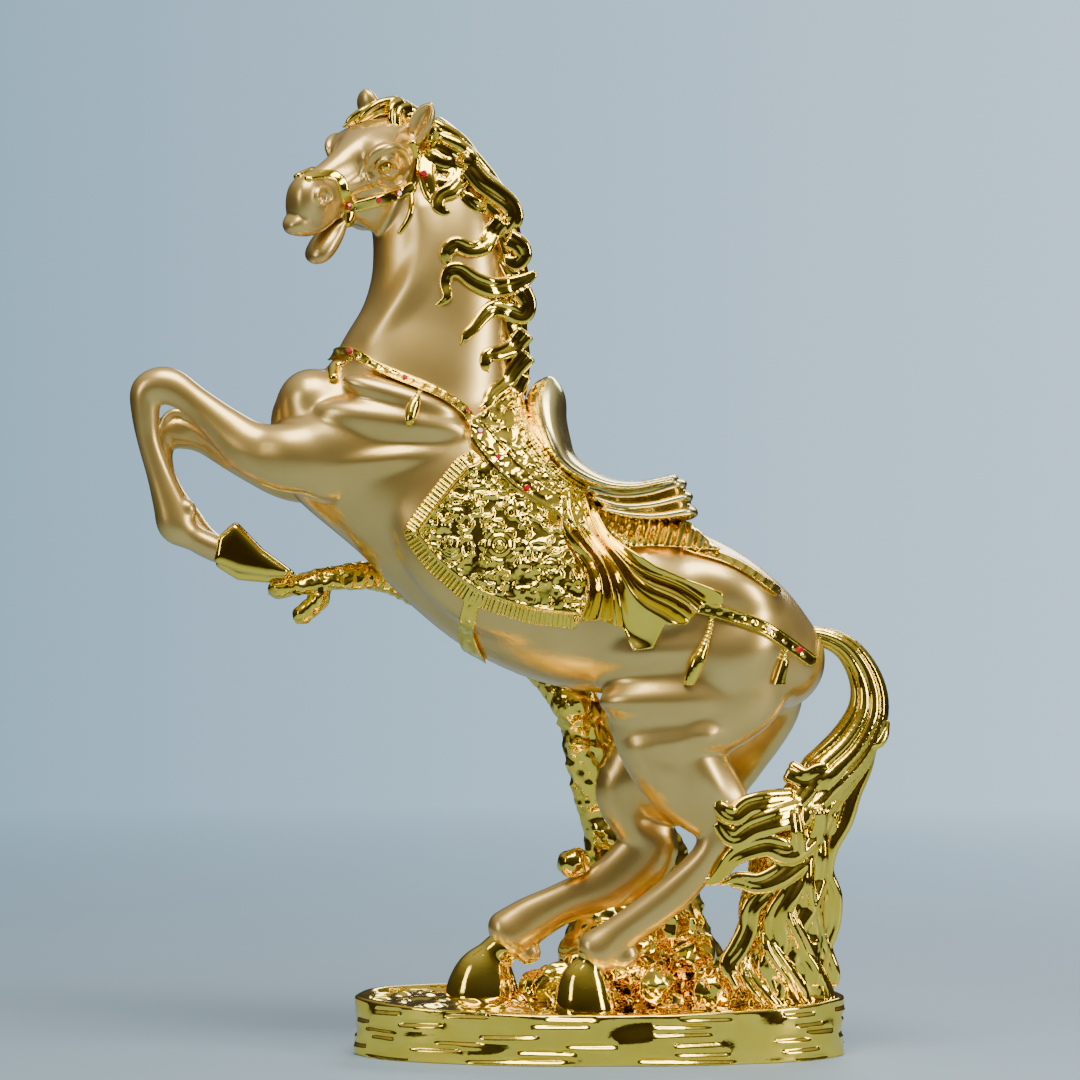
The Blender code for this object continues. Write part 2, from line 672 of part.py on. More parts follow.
def limb(stations, steps=5, side=(0, 1, 0), furrow=None):
    """A tube with oval sections through stations of x, y, z, radius and radius along side."""
    rows = spline(stations, steps)
    centres = rows[:, :3]
    radii = np.maximum(rows[:, 3:5], 0.4)
    side = np.asarray(side, float)
    reach = radii.max(1)[:, None]
    lengths = np.linalg.norm(np.diff(centres, axis=0), axis=1)
    starts = np.concatenate([[0], np.cumsum(lengths)])

    def piece(clay, cuts, number):
        """Where the grid is near one piece of the tube, and its distances there."""
        a = centres[number]
        b = centres[number + 1]
        way = unit(b - a)
        across = unit(side - way * (side @ way))
        up = np.cross(way, across)
        margin = radii[number : number + 2].max() + 16
        found, places = clay.window(np.minimum(a, b) - margin, np.maximum(a, b) + margin)
        where = []
        offsets = []
        for n in range(3):
            start = max(found[n].start, cuts[n].start)
            stop = min(found[n].stop, cuts[n].stop)
            if stop <= start:
                return None
            where.append(slice(start - cuts[n].start, stop - cuts[n].start))
            keep = [slice(None)] * 3
            keep[n] = slice(start - found[n].start, stop - found[n].start)
            offsets.append(places[n][tuple(keep)] - a[n])
        along, u, v = (sum(axis[n] * offsets[n] for n in range(3)) for axis in (way, up, across))
        share = np.clip(along / lengths[number], 0, 1)
        ru, rv = (radii[number, k] + (radii[number + 1, k] - radii[number, k]) * share for k in (0, 1))
        rest = along - share * lengths[number]
        rc = np.minimum(ru, rv)
        near = np.sqrt((u / ru) ** 2 + (v / rv) ** 2 + (rest / rc) ** 2)
        far = np.sqrt((u / ru**2) ** 2 + (v / rv**2) ** 2 + (rest / rc**2) ** 2)
        distance = near * (near - 1) / np.maximum(far, 1e-6)
        if furrow:
            distance = distance + furrow(np.arctan2(v, u), starts[number] + share * lengths[number], rc)
        return tuple(where), distance

    def field_of(clay, cuts, places):
        field = np.full([cut.stop - cut.start for cut in cuts], FAR)
        for number in range(len(lengths)):
            found = piece(clay, cuts, number)
            if found:
                where, distance = found
                field[where] = np.minimum(field[where], distance)
        return field

    return (centres - reach).min(0), (centres + reach).max(0), field_of


def layer(skin, outline, distance, rise, blend=1.5):
    """A layer on the coat inside an outline drawn on the sheet, on both sides of the horse."""
    points = np.array([at(x, y, DRAWN_DEPTH)[[0, 2]] for x, y in outline])
    low = (points[:, 0].min() - 12, -150, points[:, 1].min() - 12)
    high = (points[:, 0].max() + 12, 150, points[:, 1].max() + 12)

    def field_of(clay, cuts, places):
        x, z = np.broadcast_arrays(places[0][:, 0, :], places[2][0, :, :])
        height = rise(x, z) if callable(rise) else rise / UNIT
        lifted = skin[cuts] - np.broadcast_to(height, x.shape)[:, None, :]
        return smooth_max(lifted, distance(points, x, z)[:, None, :], blend)

    return low, high, field_of


def wrapped(skin, shape, rise):
    """As much of a shape as lies within a rise over the skin."""
    low, high, plain = shape

    def field_of(clay, cuts, places):
        return smooth_max(skin[cuts] - rise / UNIT, plain(clay, cuts, places), 1.0)

    return low, high, field_of


def slab(outline, depth, half, blend=8.0):
    """A plate with rounded edges, from its outline in the sheet."""
    points = np.array([at(x, y, depth) for x, y in outline])
    low = points.min(0) - 6
    high = points.max(0) + 6
    low[1] = depth - half - 6
    high[1] = depth + half + 6

    def field_of(clay, cuts, places):
        x, z = np.broadcast_arrays(places[0][:, 0, :], places[2][0, :, :])
        flat = outline_distance(points[:, [0, 2]], x, z)[:, None, :]
        return smooth_max(flat, np.abs(places[1] - depth) - half, blend)

    return low, high, field_of


def strands(rows, count, turns, spread=0.66, thick=0.42):
    """Locks that wind round a chain of middles."""
    path = spline(from_middles(rows), 6)
    centres = path[:, :3]
    way = np.gradient(centres, axis=0)
    way /= np.linalg.norm(way, axis=1)[:, None]
    side = np.array([0.0, 1.0, 0.0])
    across = side - way * (way @ side)[:, None]
    across /= np.linalg.norm(across, axis=1)[:, None]
    up = np.cross(way, across)
    share = np.linspace(0, 1, len(centres))
    found = []
    for number in range(count):
        angle = 2 * math.pi * (number / count + turns * share) + 0.35 * np.sin(9 * share + number)
        reach = spread * (1 + 0.16 * np.sin(14 * share + 2.1 * number))
        radius = np.minimum(path[:, 3], path[:, 4]) * thick * (1 + 0.15 * np.sin(11 * share + number))
        offset = up * (np.cos(angle) * path[:, 3] * reach)[:, None]
        offset += across * (np.sin(angle) * path[:, 4] * reach)[:, None]
        found.append(np.column_stack([centres + offset, radius, radius])[::2])
    return found


def bark(angle, run, size):
    ridges = 1.8 * np.sin(3 * angle + run * 0.03)
    ridges = ridges + 1.4 * np.sin(5 * angle - run * 0.07 + 2 * np.sin(run * 0.05))
    return 1.6 - ridges - 1.6 * np.abs(np.sin(4.5 * angle + 0.6 * np.sin(run * 0.09)))


def twig_bark(angle, run, size):
    return 0.8 - 1.3 * np.abs(np.sin(run * 0.28 + np.sin(2 * angle))) - 0.7 * np.sin(3 * angle + run * 0.03)


def combed(angle, run, size):
    """Rounded ridges along a lock of hair, with narrow grooves between them."""
    wave = np.abs(np.sin(2.5 * angle + run * 0.02))
    return 0.30 * size * (1 - wave) ** 2


def folded(angle, run, size):
    """Long grooves that wind slowly round the tail."""
    wave = np.abs(np.sin(4.5 * angle + run * 0.011 + 0.5 * np.sin(run * 0.03)))
    return 0.2 * size * (1 - wave) ** 2


def beaded(angle, run, size):
    """Waists between the beads of a hanging chain."""
    return 0.5 * size * np.cos(run * 0.8) ** 2 * (size < 5)


def roughened(shape, lumps, coarse, fine):
    """A shape with rocky lumps: each is a size and a height."""
    low, high, plain = shape

    def field_of(clay, cuts, places):
        field = plain(clay, cuts, places)
        for size, height in (coarse, fine):
            field = field - height * (1 - 2 * np.abs(lumps.at(places, size)))
        return field

    return low, high, field_of


def drawn(line):
    return np.array([at(x, y, DRAWN_DEPTH)[[0, 2]] for x, y in line])


def pleats(x, z):
    """Rise of the gathered cloth: its folds run from the gather to the hem."""
    left = line_distance(drawn(spline(DRAPE_LEFT, 3)), x, z)
    right = line_distance(drawn(spline(DRAPE_RIGHT, 3)), x, z)
    share = left / np.maximum(left + right, 1e-3)
    gather = drawn([DRAPE_LEFT[0]])[0]
    reach = np.hypot(x - gather[0], z - gather[1])
    wave = DRAPE_FOLDS * math.pi * (share + 0.05 * np.sin(reach / 24 + 5 * share))
    fold = np.cos(wave) ** 2 + 0.22 * np.cos(3 * wave + 0.7)
    return DRAPE_RISE / UNIT + np.minimum(1.5 + reach / 14, 9) * (fold - 0.4)


def base_log():
    """An oval slice of log with a raised rim and rough ground."""
    half_length = BASE_LENGTH / UNIT / 2
    half_depth = BASE_DEPTH / UNIT / 2
    rim = BASE_THICKNESS / UNIT
    squareness = 2.25

    def field_of(clay, cuts, places):
        x, y, z = places
        size = ((np.abs(x) / half_length) ** squareness + (np.abs(y) / half_depth) ** squareness) ** (
            1 / squareness
        )
        angle = np.arctan2(y / half_depth, x / half_length)
        side = (size - 1) * np.hypot(x, y) / np.maximum(size, 1e-3)
        side = side + 1.5 * np.sin(5 * angle + 0.7) + np.sin(11 * angle) + 2.2
        top = rim + BASE_RISE / UNIT * ((np.abs(x) / half_length) ** 2 + 0.6 * y / half_depth)
        flat = [x, y, np.zeros((1, 1, 1))]
        ground = top - 3.5 + 2.6 * ROCK.at(flat, 18) + 1.1 * ROCK.at(flat, 9)
        rim_share = np.clip((side + 11) / 4, 0, 1)
        level = ground + (top - ground) * rim_share
        return smooth_max(smooth_max(side, z - level, 3), -z, 1)

    low = (-half_length - 6, -half_depth - 6, -2)
    return low, (half_length + 6, half_depth + 6, rim + 14), field_of


def model_coat(clay):
    """The bare horse."""
    clay.add(limb(from_edges(TRUNK)))
    clay.add(limb(from_edges(NECK)), 18)
    for rows in (NEAR_HIND_LEG, FAR_HIND_LEG):
        clay.add(limb(from_edges(rows)), 14)
    for rows in (NEAR_FORELEG, FAR_FORELEG):
        clay.add(limb(from_edges(rows)), 12)
    clay.soften(2)
    for side in (-1, 1):
        for x, y, depth, along, across, up, tilt, blend in MUSCLES:
            clay.add(muscle(x, y, side * depth, along, across, up, tilt), blend)
        for rows, blend in RIDGES:
            clay.add(limb([(*at(x, y, side * depth), r, r) for x, y, depth, r in rows], 4), blend)
    for rows in TENDONS:
        clay.add(limb([(*at(x, y, depth), r, r) for x, y, depth, r in rows], 4), 2)
    for row in SPURS:
        clay.add(muscle(*row), 6)


def head_block(rows, power=2.3):
    """A form along the face, from its top, bottom and half width at each station."""
    path = spline(rows, 4)
    ends = [on_head(a, u, s) for a, top, low, half, _ in rows for u in (top, low) for s in (-half, half)]

    def field_of(clay, cuts, places):
        along, up, out = from_head(places)
        top, low, half, middle = (np.interp(along, path[:, 0], path[:, k]) for k in range(1, 5))
        rise = up - middle
        tall = np.maximum(np.where(rise > 0, top - middle, middle - low), 1.0)
        size = (np.abs(rise) / tall) ** power + (np.abs(out) / np.maximum(half, 1.0)) ** power
        size = size ** (1 / power)
        field = (size - 1) * np.hypot(rise * HEAD_TALL, out * HEAD_WIDE) / np.maximum(size, 1e-3)
        field = np.where(size < 0.05, -np.minimum(tall, half), field)
        return smooth_max(field, np.maximum(path[0, 0] - along, along - path[-1, 0]), 4)

    return np.min(ends, 0), np.max(ends, 0), field_of


def head_limb(rows):
    """A round form along the head, from rows of along, up, out and the radii up and out."""
    stations = [(*on_head(a, u, s), up * HEAD_TALL, out * HEAD_WIDE) for a, u, s, up, out in rows]
    return limb(stations, 4, CHEEKWARD)


def on_cheek(head, skin, x, y, side, lift=0):
    """The place on one cheek that is drawn at x, y on the near one."""
    place = at(x, y, -20)
    for _ in range(3):
        column = [round((place[n] - head.low[n]) / head.step) for n in (0, 2)]
        depth = skin[column[0], column[1]]
        place = at(x, y, -20 if np.isnan(depth) else depth)
    place = place - np.array([0, lift, 0])
    along, up, out = from_head(place)
    return on_head(along, up, -side * out)


def cheek_line(head, skin, rows, side):
    """A raised line on one cheek, from rows of x, y and half thickness."""
    return limb([(*on_cheek(head, skin, x, y, side), r, r) for x, y, r in rows], 5)


def model_ear(clay, root, middle, tip, opening):
    """A leaf-shaped ear, hollowed on the side that it opens to."""
    root = on_head(*root)
    middle = on_head(*middle)
    tip = on_head(*tip)
    way = unit(opening)
    side = unit(np.cross(tip - root, way))
    leaf = [(*root, 9, 9), (*middle, 8, 12.5), (*(middle * 0.4 + tip * 0.6), 6, 9.5), (*tip, 2, 2.6)]
    hollow = [(*(c + way * 6), up * 0.85, out * 0.8) for c, up, out in (
        (middle * 0.5 + root * 0.5, 6, 7.5), (middle, 7, 10.5), (middle * 0.4 + tip * 0.6, 6, 8),
         (tip, 2.5, 2))]
    clay.add(limb(leaf, 6, side), 4)
    clay.cut(limb(hollow, 6, side), 2)


def model_head(clay):
    clay.add(head_block(FACE), 10)
    for side in (-1, 1):
        clay.add(head_ball(55, -45, 9 * side, 36, 35, 12), 7)
        clay.add(head_ball(48, 2, 21 * side, 21, 14, 12), 8)
        clay.add(limb([(*on_head(66, -14, 20 * side), 6, 6), (*on_head(98, -12, 12 * side), 4, 4)], 3), 8)
    clay.add(head_limb(LOWER_JAW), 6)
    clay.add(head_block(UPPER_LIP, 2.6), 3)
    clay.cut(head_limb(MOUTH), 2)
    skin = clay.skin(-1)
    bare = clay.copy()
    for side in (-1, 1):
        x, y, r = EYE
        clay.cut(ellipsoid(on_cheek(bare, skin, x, y, side, 4), (r + 5, r + 5, r + 3), np.eye(3)), 4)
        for rows in EYE_LINES:
            clay.add(cheek_line(bare, skin, rows, side), 2.5)
        x, y = NOSTRIL
        clay.cut(ellipsoid(on_cheek(bare, skin, x, y, side, 1), (5, 6, 6), np.eye(3)), 3)
        clay.add(cheek_line(bare, skin, NOSTRIL_LINE, side), 1.2)
    for ear in EARS:
        model_ear(clay, *ear)


def model_hooves(clay):
    clay.add(slab(NEAR_FORE_HOOF, -28, 17), 1)
    clay.add(slab(FAR_FORE_HOOF, 14, 17), 1)
    clay.add(limb(from_edges(NEAR_HIND_HOOF), 4), 2)
    clay.add(limb(from_edges(FAR_HIND_HOOF), 4), 2)


def model_tree(clay):
    clay.add(roughened(limb(from_middles(TREE), 6, furrow=bark), ROCK, (21, 3.4), (10, 1.2)), 4)
    for x, y, depth, radius in KNOTS:
        clay.add(roughened(muscle(x, y, depth, radius, radius, radius, 0), ROCK, (21, 4.2), (10, 1.4)), 6)
    clay.add(roughened(limb(from_middles(BRANCH), 5, furrow=twig_bark), ROCK, (11, 1.2), (5, 0.8)), 4)
    clay.add(roughened(limb(from_middles(TWIG), 5, furrow=twig_bark), ROCK, (11, 1.0), (5, 0.6)), 3)


def on_coat(coat, skins, x, y, side, lift):
    """The place on the coat that is drawn at x, y on a side, lifted off it."""
    place = at(x, y, side * 50)
    for _ in range(2):
        column = [round((place[n] - coat.low[n]) / coat.step) for n in (0, 2)]
        depth = skins[side][column[0], column[1]]
        place = at(x, y, side * 14 if np.isnan(depth) else depth)
    return place + np.array([0, side * lift, 0])


def model_bridle(clay, head):
    """The straps round the head and the eyes, on the finished head."""
    skin = head.skin(-1)
    for side in (-1, 1):
        for rows in BRIDLE:
            clay.add(wrapped(head.field, cheek_line(head, skin, rows, side), STRAP_RISE), 0.5)
        x, y, r = EYE
        clay.add(ellipsoid(on_cheek(head, skin, x, y, side, 1), (r, r, r), np.eye(3)), 0.5)


def model_tack(clay, under, coat, skins):
    """Blanket, drape, straps and tassels, on the coat under them."""
    clay.add(layer(under.field, FLAP, outline_distance, BLANKET_FLAP), 0.5)
    clay.add(layer(under.field, BAND, outline_distance, BLANKET_BAND), 0.5)
    clay.add(layer(under.field, SKIRT, outline_distance, BLANKET_BAND), 0.5)
    clay.add(layer(under.field, DRAPE, outline_distance, pleats), 1)
    straps = (
        (BREAST_STRAP, BREAST_STRAP_WIDTH),
        (CRUPPER_STRAP, CRUPPER_STRAP_WIDTH),
        (GIRTH_STRAP, GIRTH_STRAP_WIDTH),
        (CROUP_ROPE, CROUP_ROPE_WIDTH),
    )
    for line, width in straps:
        half = width / UNIT / 2
        across = lambda points, x, z: line_distance(points, x, z) - half
        clay.add(layer(under.field, spline(line, 4), across, STRAP_RISE), 1)
    for rows in TASSELS:
        for side in (-1, 1):
            beads = [(*on_coat(coat, skins, x, y, side, r * 0.6), r, r) for x, y, r in rows]
            clay.add(limb(beads, 4, furrow=beaded), 1.5)


def model_saddle(clay):
    clay.add(limb(from_middles(SADDLE), 6), 3)
    for rows in CANTLE_FOLDS:
        clay.add(limb(from_middles(rows), 5), 1)


def model_mane(clay, coat, skins):
    crest = [(x, y, z, ru * 0.85, rv * 0.85) for x, y, z, ru, rv in from_middles(MANE_CREST)]
    clay.add(limb(crest, furrow=combed), 4)
    for rows in MANE_LOCKS:
        for side in (-1, 1):
            lock = [(*on_coat(coat, skins, x, y, side, r * 0.7), r, r * 0.8) for x, y, r in rows]
            clay.add(limb(lock, 5), 1)
    for rows in FORELOCKS:
        clay.add(limb([(*on_head(a, u, s), r, r) for a, u, s, r in rows], 5), 1)


def hair_flow(angle, run, size):
    """Wavy grooves down the lower tail."""
    sway = 0.9 * np.sin(run * 0.045 + 2 * np.sin(angle)) + 0.4 * np.sin(run * 0.11 + 3 * angle)
    deep = (1 - np.abs(np.sin(3.5 * angle + sway))) ** 2
    fine = (1 - np.abs(np.sin(9 * angle + 2 * sway + 0.6))) ** 2
    return 0.24 * size * deep + 1.5 * fine


def model_tail(clay):
    top = [row for row in TAIL if row[1] < 800]
    clay.add(limb(from_middles(top), 6, furrow=folded), 3)
    low = [(x, y, z, ru * 0.92, rv * 0.92) for x, y, z, ru, rv in from_middles(TAIL[6:])]
    clay.add(limb(low, 6, furrow=hair_flow), 4)
    for rows in strands(TAIL[7:], 9, 0.25, 0.8, 0.26):
        clay.add(limb(rows, 2, furrow=combed), 3)
    for rows in TAIL_LOCKS:
        clay.add(limb(from_middles([(*row, row[3] * 0.8) for row in rows]), 5), 2.5)
def shells(count, faces):
    """A number for each point that is the same all over one closed shell."""
    label = np.arange(count)
    while True:
        lowest = label[faces].min(1)
        merged = label.copy()
        np.minimum.at(merged, faces.ravel(), np.repeat(lowest, faces.shape[1]))
        merged = merged[merged]
        if (merged == label).all():
            return label
        label = merged


def mesh_of(clay, name):
    """The largest shell of the form, as a mesh in metres."""
    grid = openvdb.FloatGrid(FAR)
    grid.copyFromArray(np.round(clay.field.astype(float), 4))
    points, quads = grid.convertToQuads(0.0)
    label = shells(len(points), quads)
    biggest = np.bincount(label[quads[:, 0]]).argmax()
    quads = quads[label[quads[:, 0]] == biggest]
    used, quads = np.unique(quads, return_inverse=True)
    places = (points[used] * clay.step + clay.low) * UNIT
    quads = quads.reshape(-1, 4)
    corners = places[quads]
    volume = np.einsum("ij,ij->i", corners[:, 0], np.cross(corners[:, 1], corners[:, 2])).sum()
    volume += np.einsum("ij,ij->i", corners[:, 0], np.cross(corners[:, 2], corners[:, 3])).sum()
    if volume < 0:
        quads = quads[:, ::-1]
    mesh = bpy.data.meshes.new(name)
    mesh.from_pydata(places.tolist(), [], quads.tolist())
    mesh.validate()
    return mesh


def material(name, colour, roughness, metallic):
    made = bpy.data.materials.new(name)
    made.use_nodes = True
    shader = made.node_tree.nodes["Principled BSDF"]
    shader.inputs["Base Color"].default_value = (*colour, 1)
    shader.inputs["Roughness"].default_value = roughness
    shader.inputs["Metallic"].default_value = metallic
    made.diffuse_color = (*colour, 1)
    return made


def collection(name):
    made = bpy.data.collections.new(name)
    bpy.context.scene.collection.children.link(made)
    return made


def cone(name, low_radius, high_radius, height, sides, place, facing):
    """A frustum that stands on a place and points one way."""
    shape = bmesh.new()
    bmesh.ops.create_cone(
        shape, cap_ends=True, segments=sides, radius1=low_radius, radius2=high_radius, depth=height
    )
    bmesh.ops.translate(shape, verts=shape.verts, vec=(0, 0, height / 2))
    mesh = bpy.data.meshes.new(name)
    shape.to_mesh(mesh)
    shape.free()
    made = bpy.data.objects.new(name, mesh)
    made.location = place
    made.rotation_mode = "QUATERNION"
    made.rotation_quaternion = Vector(facing).to_track_quat("Z", "Y")
    return made


def stone_places(clay):
    """Name, place and facing of each stone, where the finished surface of its strap is."""
    found = []
    skins = {side: clay.skin(side) for side in (-1, 1)}
    for side, word in ((-1, "near"), (1, "far")):
        for name, (x, y) in TACK_STONES.items():
            place = on_coat(clay, skins, x, y, side, 0)
            found.append((f"stone_{name}_{word}", place, clay.slope(place)))
        for name, (x, y) in BRIDLE_STONES.items():
            along, up, _ = from_head(on_cheek(clay, skins[-1], x, y, -1))
            steps = [on_head(along, up, -side * out) for out in np.arange(45, 5, -0.5)]
            cells = [tuple(int(round(c)) for c in (p - clay.low) / clay.step) for p in steps]
            place = next(p for p, cell in zip(steps, cells) if clay.field[cell] < 0)
            found.append((f"stone_{name}_{word}", place, clay.slope(place)))
    return found


def clear_scene():
    for item in list(bpy.data.objects):
        bpy.data.objects.remove(item, do_unlink=True)


def form():
    """The whole statue in clay."""
    clay = Clay((-480, -150, -8), (300, 150, 980), GRID_STEP / UNIT)
    model_coat(clay)
    model_head(clay)
    coat = clay.copy()
    skins = {side: coat.skin(side) for side in (-1, 1)}
    model_hooves(clay)
    model_tree(clay)
    model_tack(clay, coat, coat, skins)
    model_bridle(clay, coat)
    model_saddle(clay)
    model_mane(clay, coat, skins)
    model_tail(clay)
    ground = BASE_THICKNESS / UNIT / 4
    clay.field = np.maximum(clay.field, ground - clay.axes[2].reshape(1, 1, -1))
    clay.add(base_log())
    return clay


def build():
    clear_scene()
    parts = collection("Horse statue")
    cutters = collection("Cutters")
    gold = material("Gold plating", (0.83, 0.60, 0.16), 0.12, 1.0)
    ruby = material("Red glass", (0.55, 0.01, 0.04), 0.05, 0.0)

    clay = form()
    statue = bpy.data.objects.new("statue", mesh_of(clay, "statue"))
    statue.data.materials.append(gold)
    parts.objects.link(statue)
    thin = statue.modifiers.new("Thin", "DECIMATE")
    thin.ratio = STATUE_FACES / (2 * len(statue.data.polygons))
    statue.data.shade_smooth()

    sockets = bmesh.new()
    for name, place, facing in stone_places(clay):
        base = place * UNIT
        stone = cone(name, STONE_RADIUS, STONE_TABLE, STONE_HEIGHT, 8, base - facing * STONE_SEAT, facing)
        stone.data.materials.append(ruby)
        parts.objects.link(stone)
        floor = base - facing * (STONE_SEAT + SEAT_GAP)
        width = STONE_RADIUS + SEAT_GAP
        cutter = cone("socket", width, width, 2 * STONE_HEIGHT, 10, floor, facing)
        cutter.data.transform(cutter.matrix_basis)
        sockets.from_mesh(cutter.data)
        bpy.data.objects.remove(cutter)
    mesh = bpy.data.meshes.new("sockets")
    sockets.to_mesh(mesh)
    sockets.free()
    cutter = bpy.data.objects.new("sockets", mesh)
    cutter.hide_render = True
    cutter.display_type = "WIRE"
    cutters.objects.link(cutter)
    seat = statue.modifiers.new("Sockets", "BOOLEAN")
    seat.operation = "DIFFERENCE"
    seat.solver = "EXACT"
    seat.object = cutter


build()
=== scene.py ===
"""Dressed scene of the rearing horse statue: pearl coat, gold plated tack, hair, tree and base.

The forms are drawn on the same sheet as the part's solids: stations are x to the right and y down in sheet
squares, and depth is how far behind the horse's middle plane a point lies. UNIT is the real size of one square.
"""

import json
import math

import bmesh
import bpy
import numpy as np
import openvdb
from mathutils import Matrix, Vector

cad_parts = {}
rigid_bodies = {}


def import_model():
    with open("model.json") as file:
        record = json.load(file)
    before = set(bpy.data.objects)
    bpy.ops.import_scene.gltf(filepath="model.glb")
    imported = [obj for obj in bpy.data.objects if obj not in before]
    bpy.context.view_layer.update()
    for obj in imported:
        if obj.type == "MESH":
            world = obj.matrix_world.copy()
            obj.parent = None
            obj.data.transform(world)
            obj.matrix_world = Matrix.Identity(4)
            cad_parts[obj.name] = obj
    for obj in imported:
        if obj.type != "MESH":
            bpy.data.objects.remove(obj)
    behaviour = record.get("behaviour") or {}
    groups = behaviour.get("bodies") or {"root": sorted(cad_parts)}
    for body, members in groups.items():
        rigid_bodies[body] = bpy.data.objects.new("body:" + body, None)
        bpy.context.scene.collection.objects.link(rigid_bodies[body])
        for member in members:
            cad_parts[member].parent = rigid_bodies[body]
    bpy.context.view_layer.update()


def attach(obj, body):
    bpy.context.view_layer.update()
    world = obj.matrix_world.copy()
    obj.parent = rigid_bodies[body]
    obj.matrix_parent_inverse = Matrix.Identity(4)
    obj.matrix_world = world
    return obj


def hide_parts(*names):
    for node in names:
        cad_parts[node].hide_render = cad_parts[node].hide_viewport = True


# Driving sizes, in metres
STATUE_HEIGHT = 0.615
BASE_LENGTH = 0.316
BASE_DEPTH = 0.156
BASE_THICKNESS = 0.034
BASE_RISE = 0.004
BLANKET_BAND = 0.0048
STRAP_RISE = 0.0022
BREAST_STRAP_WIDTH = 0.0064
CRUPPER_STRAP_WIDTH = 0.0084
GIRTH_STRAP_WIDTH = 0.0104
CROUP_ROPE_WIDTH = 0.006
FLOOR_GAP = 0.00001
GRID_STEP = 0.0021
FLOOR_RADIUS = 3.0
LIGHTS_AIM = (0, 0, 0.34)

# The sheet: how many squares high the statue is drawn, and the eye that it is drawn from
SHEET_HEIGHT = 961.0
UNIT = STATUE_HEIGHT / SHEET_HEIGHT
EYE_DISTANCE = 4200.0
EYE_X = 540.0
EYE_Y = 540.0
EYE_HEIGHT = 512.0
SHEET_SHIFT = -60.0

# Grids of the pieces, in sheet squares: low corner, high corner and step
COAT_GRID = ((-480, -150, 18), (300, 150, 980), GRID_STEP / UNIT)
HOOVES_GRID = ((-400, -90, 34), (90, 90, 560), 1.5)
TREE_GRID = ((-360, -90, 20), (200, 160, 520), 1.5)
BASE_GRID = ((-260, -130, -4), (260, 130, 76), 1.5)
MANE_GRID = ((-290, -90, 610), (-50, 90, 975), 1.2)
TAIL_GRID = ((88, -112, 36), (312, 80, 440), 1.25)
SADDLE_GRID = ((-110, -100, 500), (120, 100, 700), 1.6)
TACK_GRIDS = {
    "near": ((-300, -150, 370), (300, -2, 730), 1.1),
    "far": ((-300, 2, 370), (300, 150, 730), 1.1),
}
# The head's part of the coat's grid, and the height where its piece meets the body's
HEAD_BOX = ((-350, -140, 758), (-90, 70, 980))
HEAD_CUT = 776.0
# How far under the coat the tack and the bridle go on
TACK_SUNK = 3
BRIDLE_SUNK = 2.5
# What the field holds away from the form, and the least faces of a loose shell that is kept
FAR = 60.0
LEAST_SHELL = 400
# The most triangles of each piece
MOST = {
    "bridle": 45000, "coat_head": 90000, "coat": 90000, "hooves": 25000, "tree": 90000, "base": 70000,
    "mane": 130000, "tail": 120000, "tack_near": 150000, "tack_far": 110000, "saddle": 40000,
}

# Colours of the finishes, from the darker to the lighter of their clouds
PEARL_TONES = ((0.70, 0.465, 0.125), (0.78, 0.545, 0.175))
PLATE_TONES = ((0.96, 0.68, 0.07), (1.0, 0.75, 0.11))
SATIN_TONES = ((0.93, 0.76, 0.28), (0.98, 0.83, 0.36))
RUBY_TONES = ((0.42, 0.002, 0.012), (0.62, 0.006, 0.03))
FLOOR_COLOUR = (0.25, 0.35, 0.43)
# The wall from left to right, and what the room reflects from below, from the sides and from above
WALL_TONES = ((0.36, 0.57, 0.74), (0.70, 0.94, 1.15))
WALL_REACH = 0.13
ROOM_TONES = [(0.0, (0.05, 0.038, 0.024)), (0.42, (0.17, 0.165, 0.155)), (1.0, (1.15, 1.15, 1.15))]
ROOM_STRENGTH = 0.55
# Lights: name, place, width, height, power and colour
LIGHTS = [
    ("above", (0.0, -0.8, 1.9), 1.3, 1.0, 48, (1, 0.96, 0.88)),
    ("left", (-1.7, -1.5, 1.0), 0.4, 1.1, 9, (1, 0.97, 0.92)),
    ("right", (1.8, -1.2, 0.9), 0.45, 1.2, 27, (1, 0.96, 0.89)),
    ("behind", (0.5, 1.8, 1.3), 1.2, 0.6, 18, (0.9, 0.95, 1)),
]

# Edges of the form on both sides, as drawn: x, y, opposite x, y, depth, half thickness across
TRUNK = [
    (326, 378, 305, 465, 0, 46),
    (352, 370, 328, 512, 0, 60),
    (405, 374, 362, 545, 0, 70),
    (462, 385, 402, 580, 0, 77),
    (508, 412, 442, 620, 0, 82),
    (546, 462, 484, 656, 0, 86),
    (602, 502, 534, 680, 0, 86),
    (662, 520, 596, 690, 0, 83),
    (716, 540, 656, 700, 0, 78),
    (762, 572, 702, 706, 0, 70),
    (795, 612, 752, 706, 0, 52),
]
NECK = [
    (394, 186, 446, 122, 8, 17),
    (388, 218, 456, 146, 6, 23),
    (380, 242, 474, 174, 4, 29),
    (378, 268, 492, 216, 1, 35),
    (372, 300, 505, 270, 0, 41),
    (358, 334, 512, 325, 0, 47),
    (336, 362, 515, 385, 0, 56),
    (318, 395, 508, 440, 0, 62),
]
NEAR_HIND_LEG = [
    (650, 590, 798, 630, -30, 40),
    (602, 655, 792, 674, -40, 37),
    (600, 700, 756, 714, -44, 34),
    (614, 735, 728, 744, -46, 29),
    (634, 770, 724, 764, -46, 25),
    (664, 802, 744, 788, -45, 21),
    (692, 826, 752, 812, -45, 17),
    (694, 850, 728, 852, -45, 15),
    (664, 877, 694, 900, -44, 13),
    (632, 902, 660, 928, -43, 13),
    (602, 923, 630, 950, -42, 14),
    (580, 936, 614, 968, -42, 17),
]
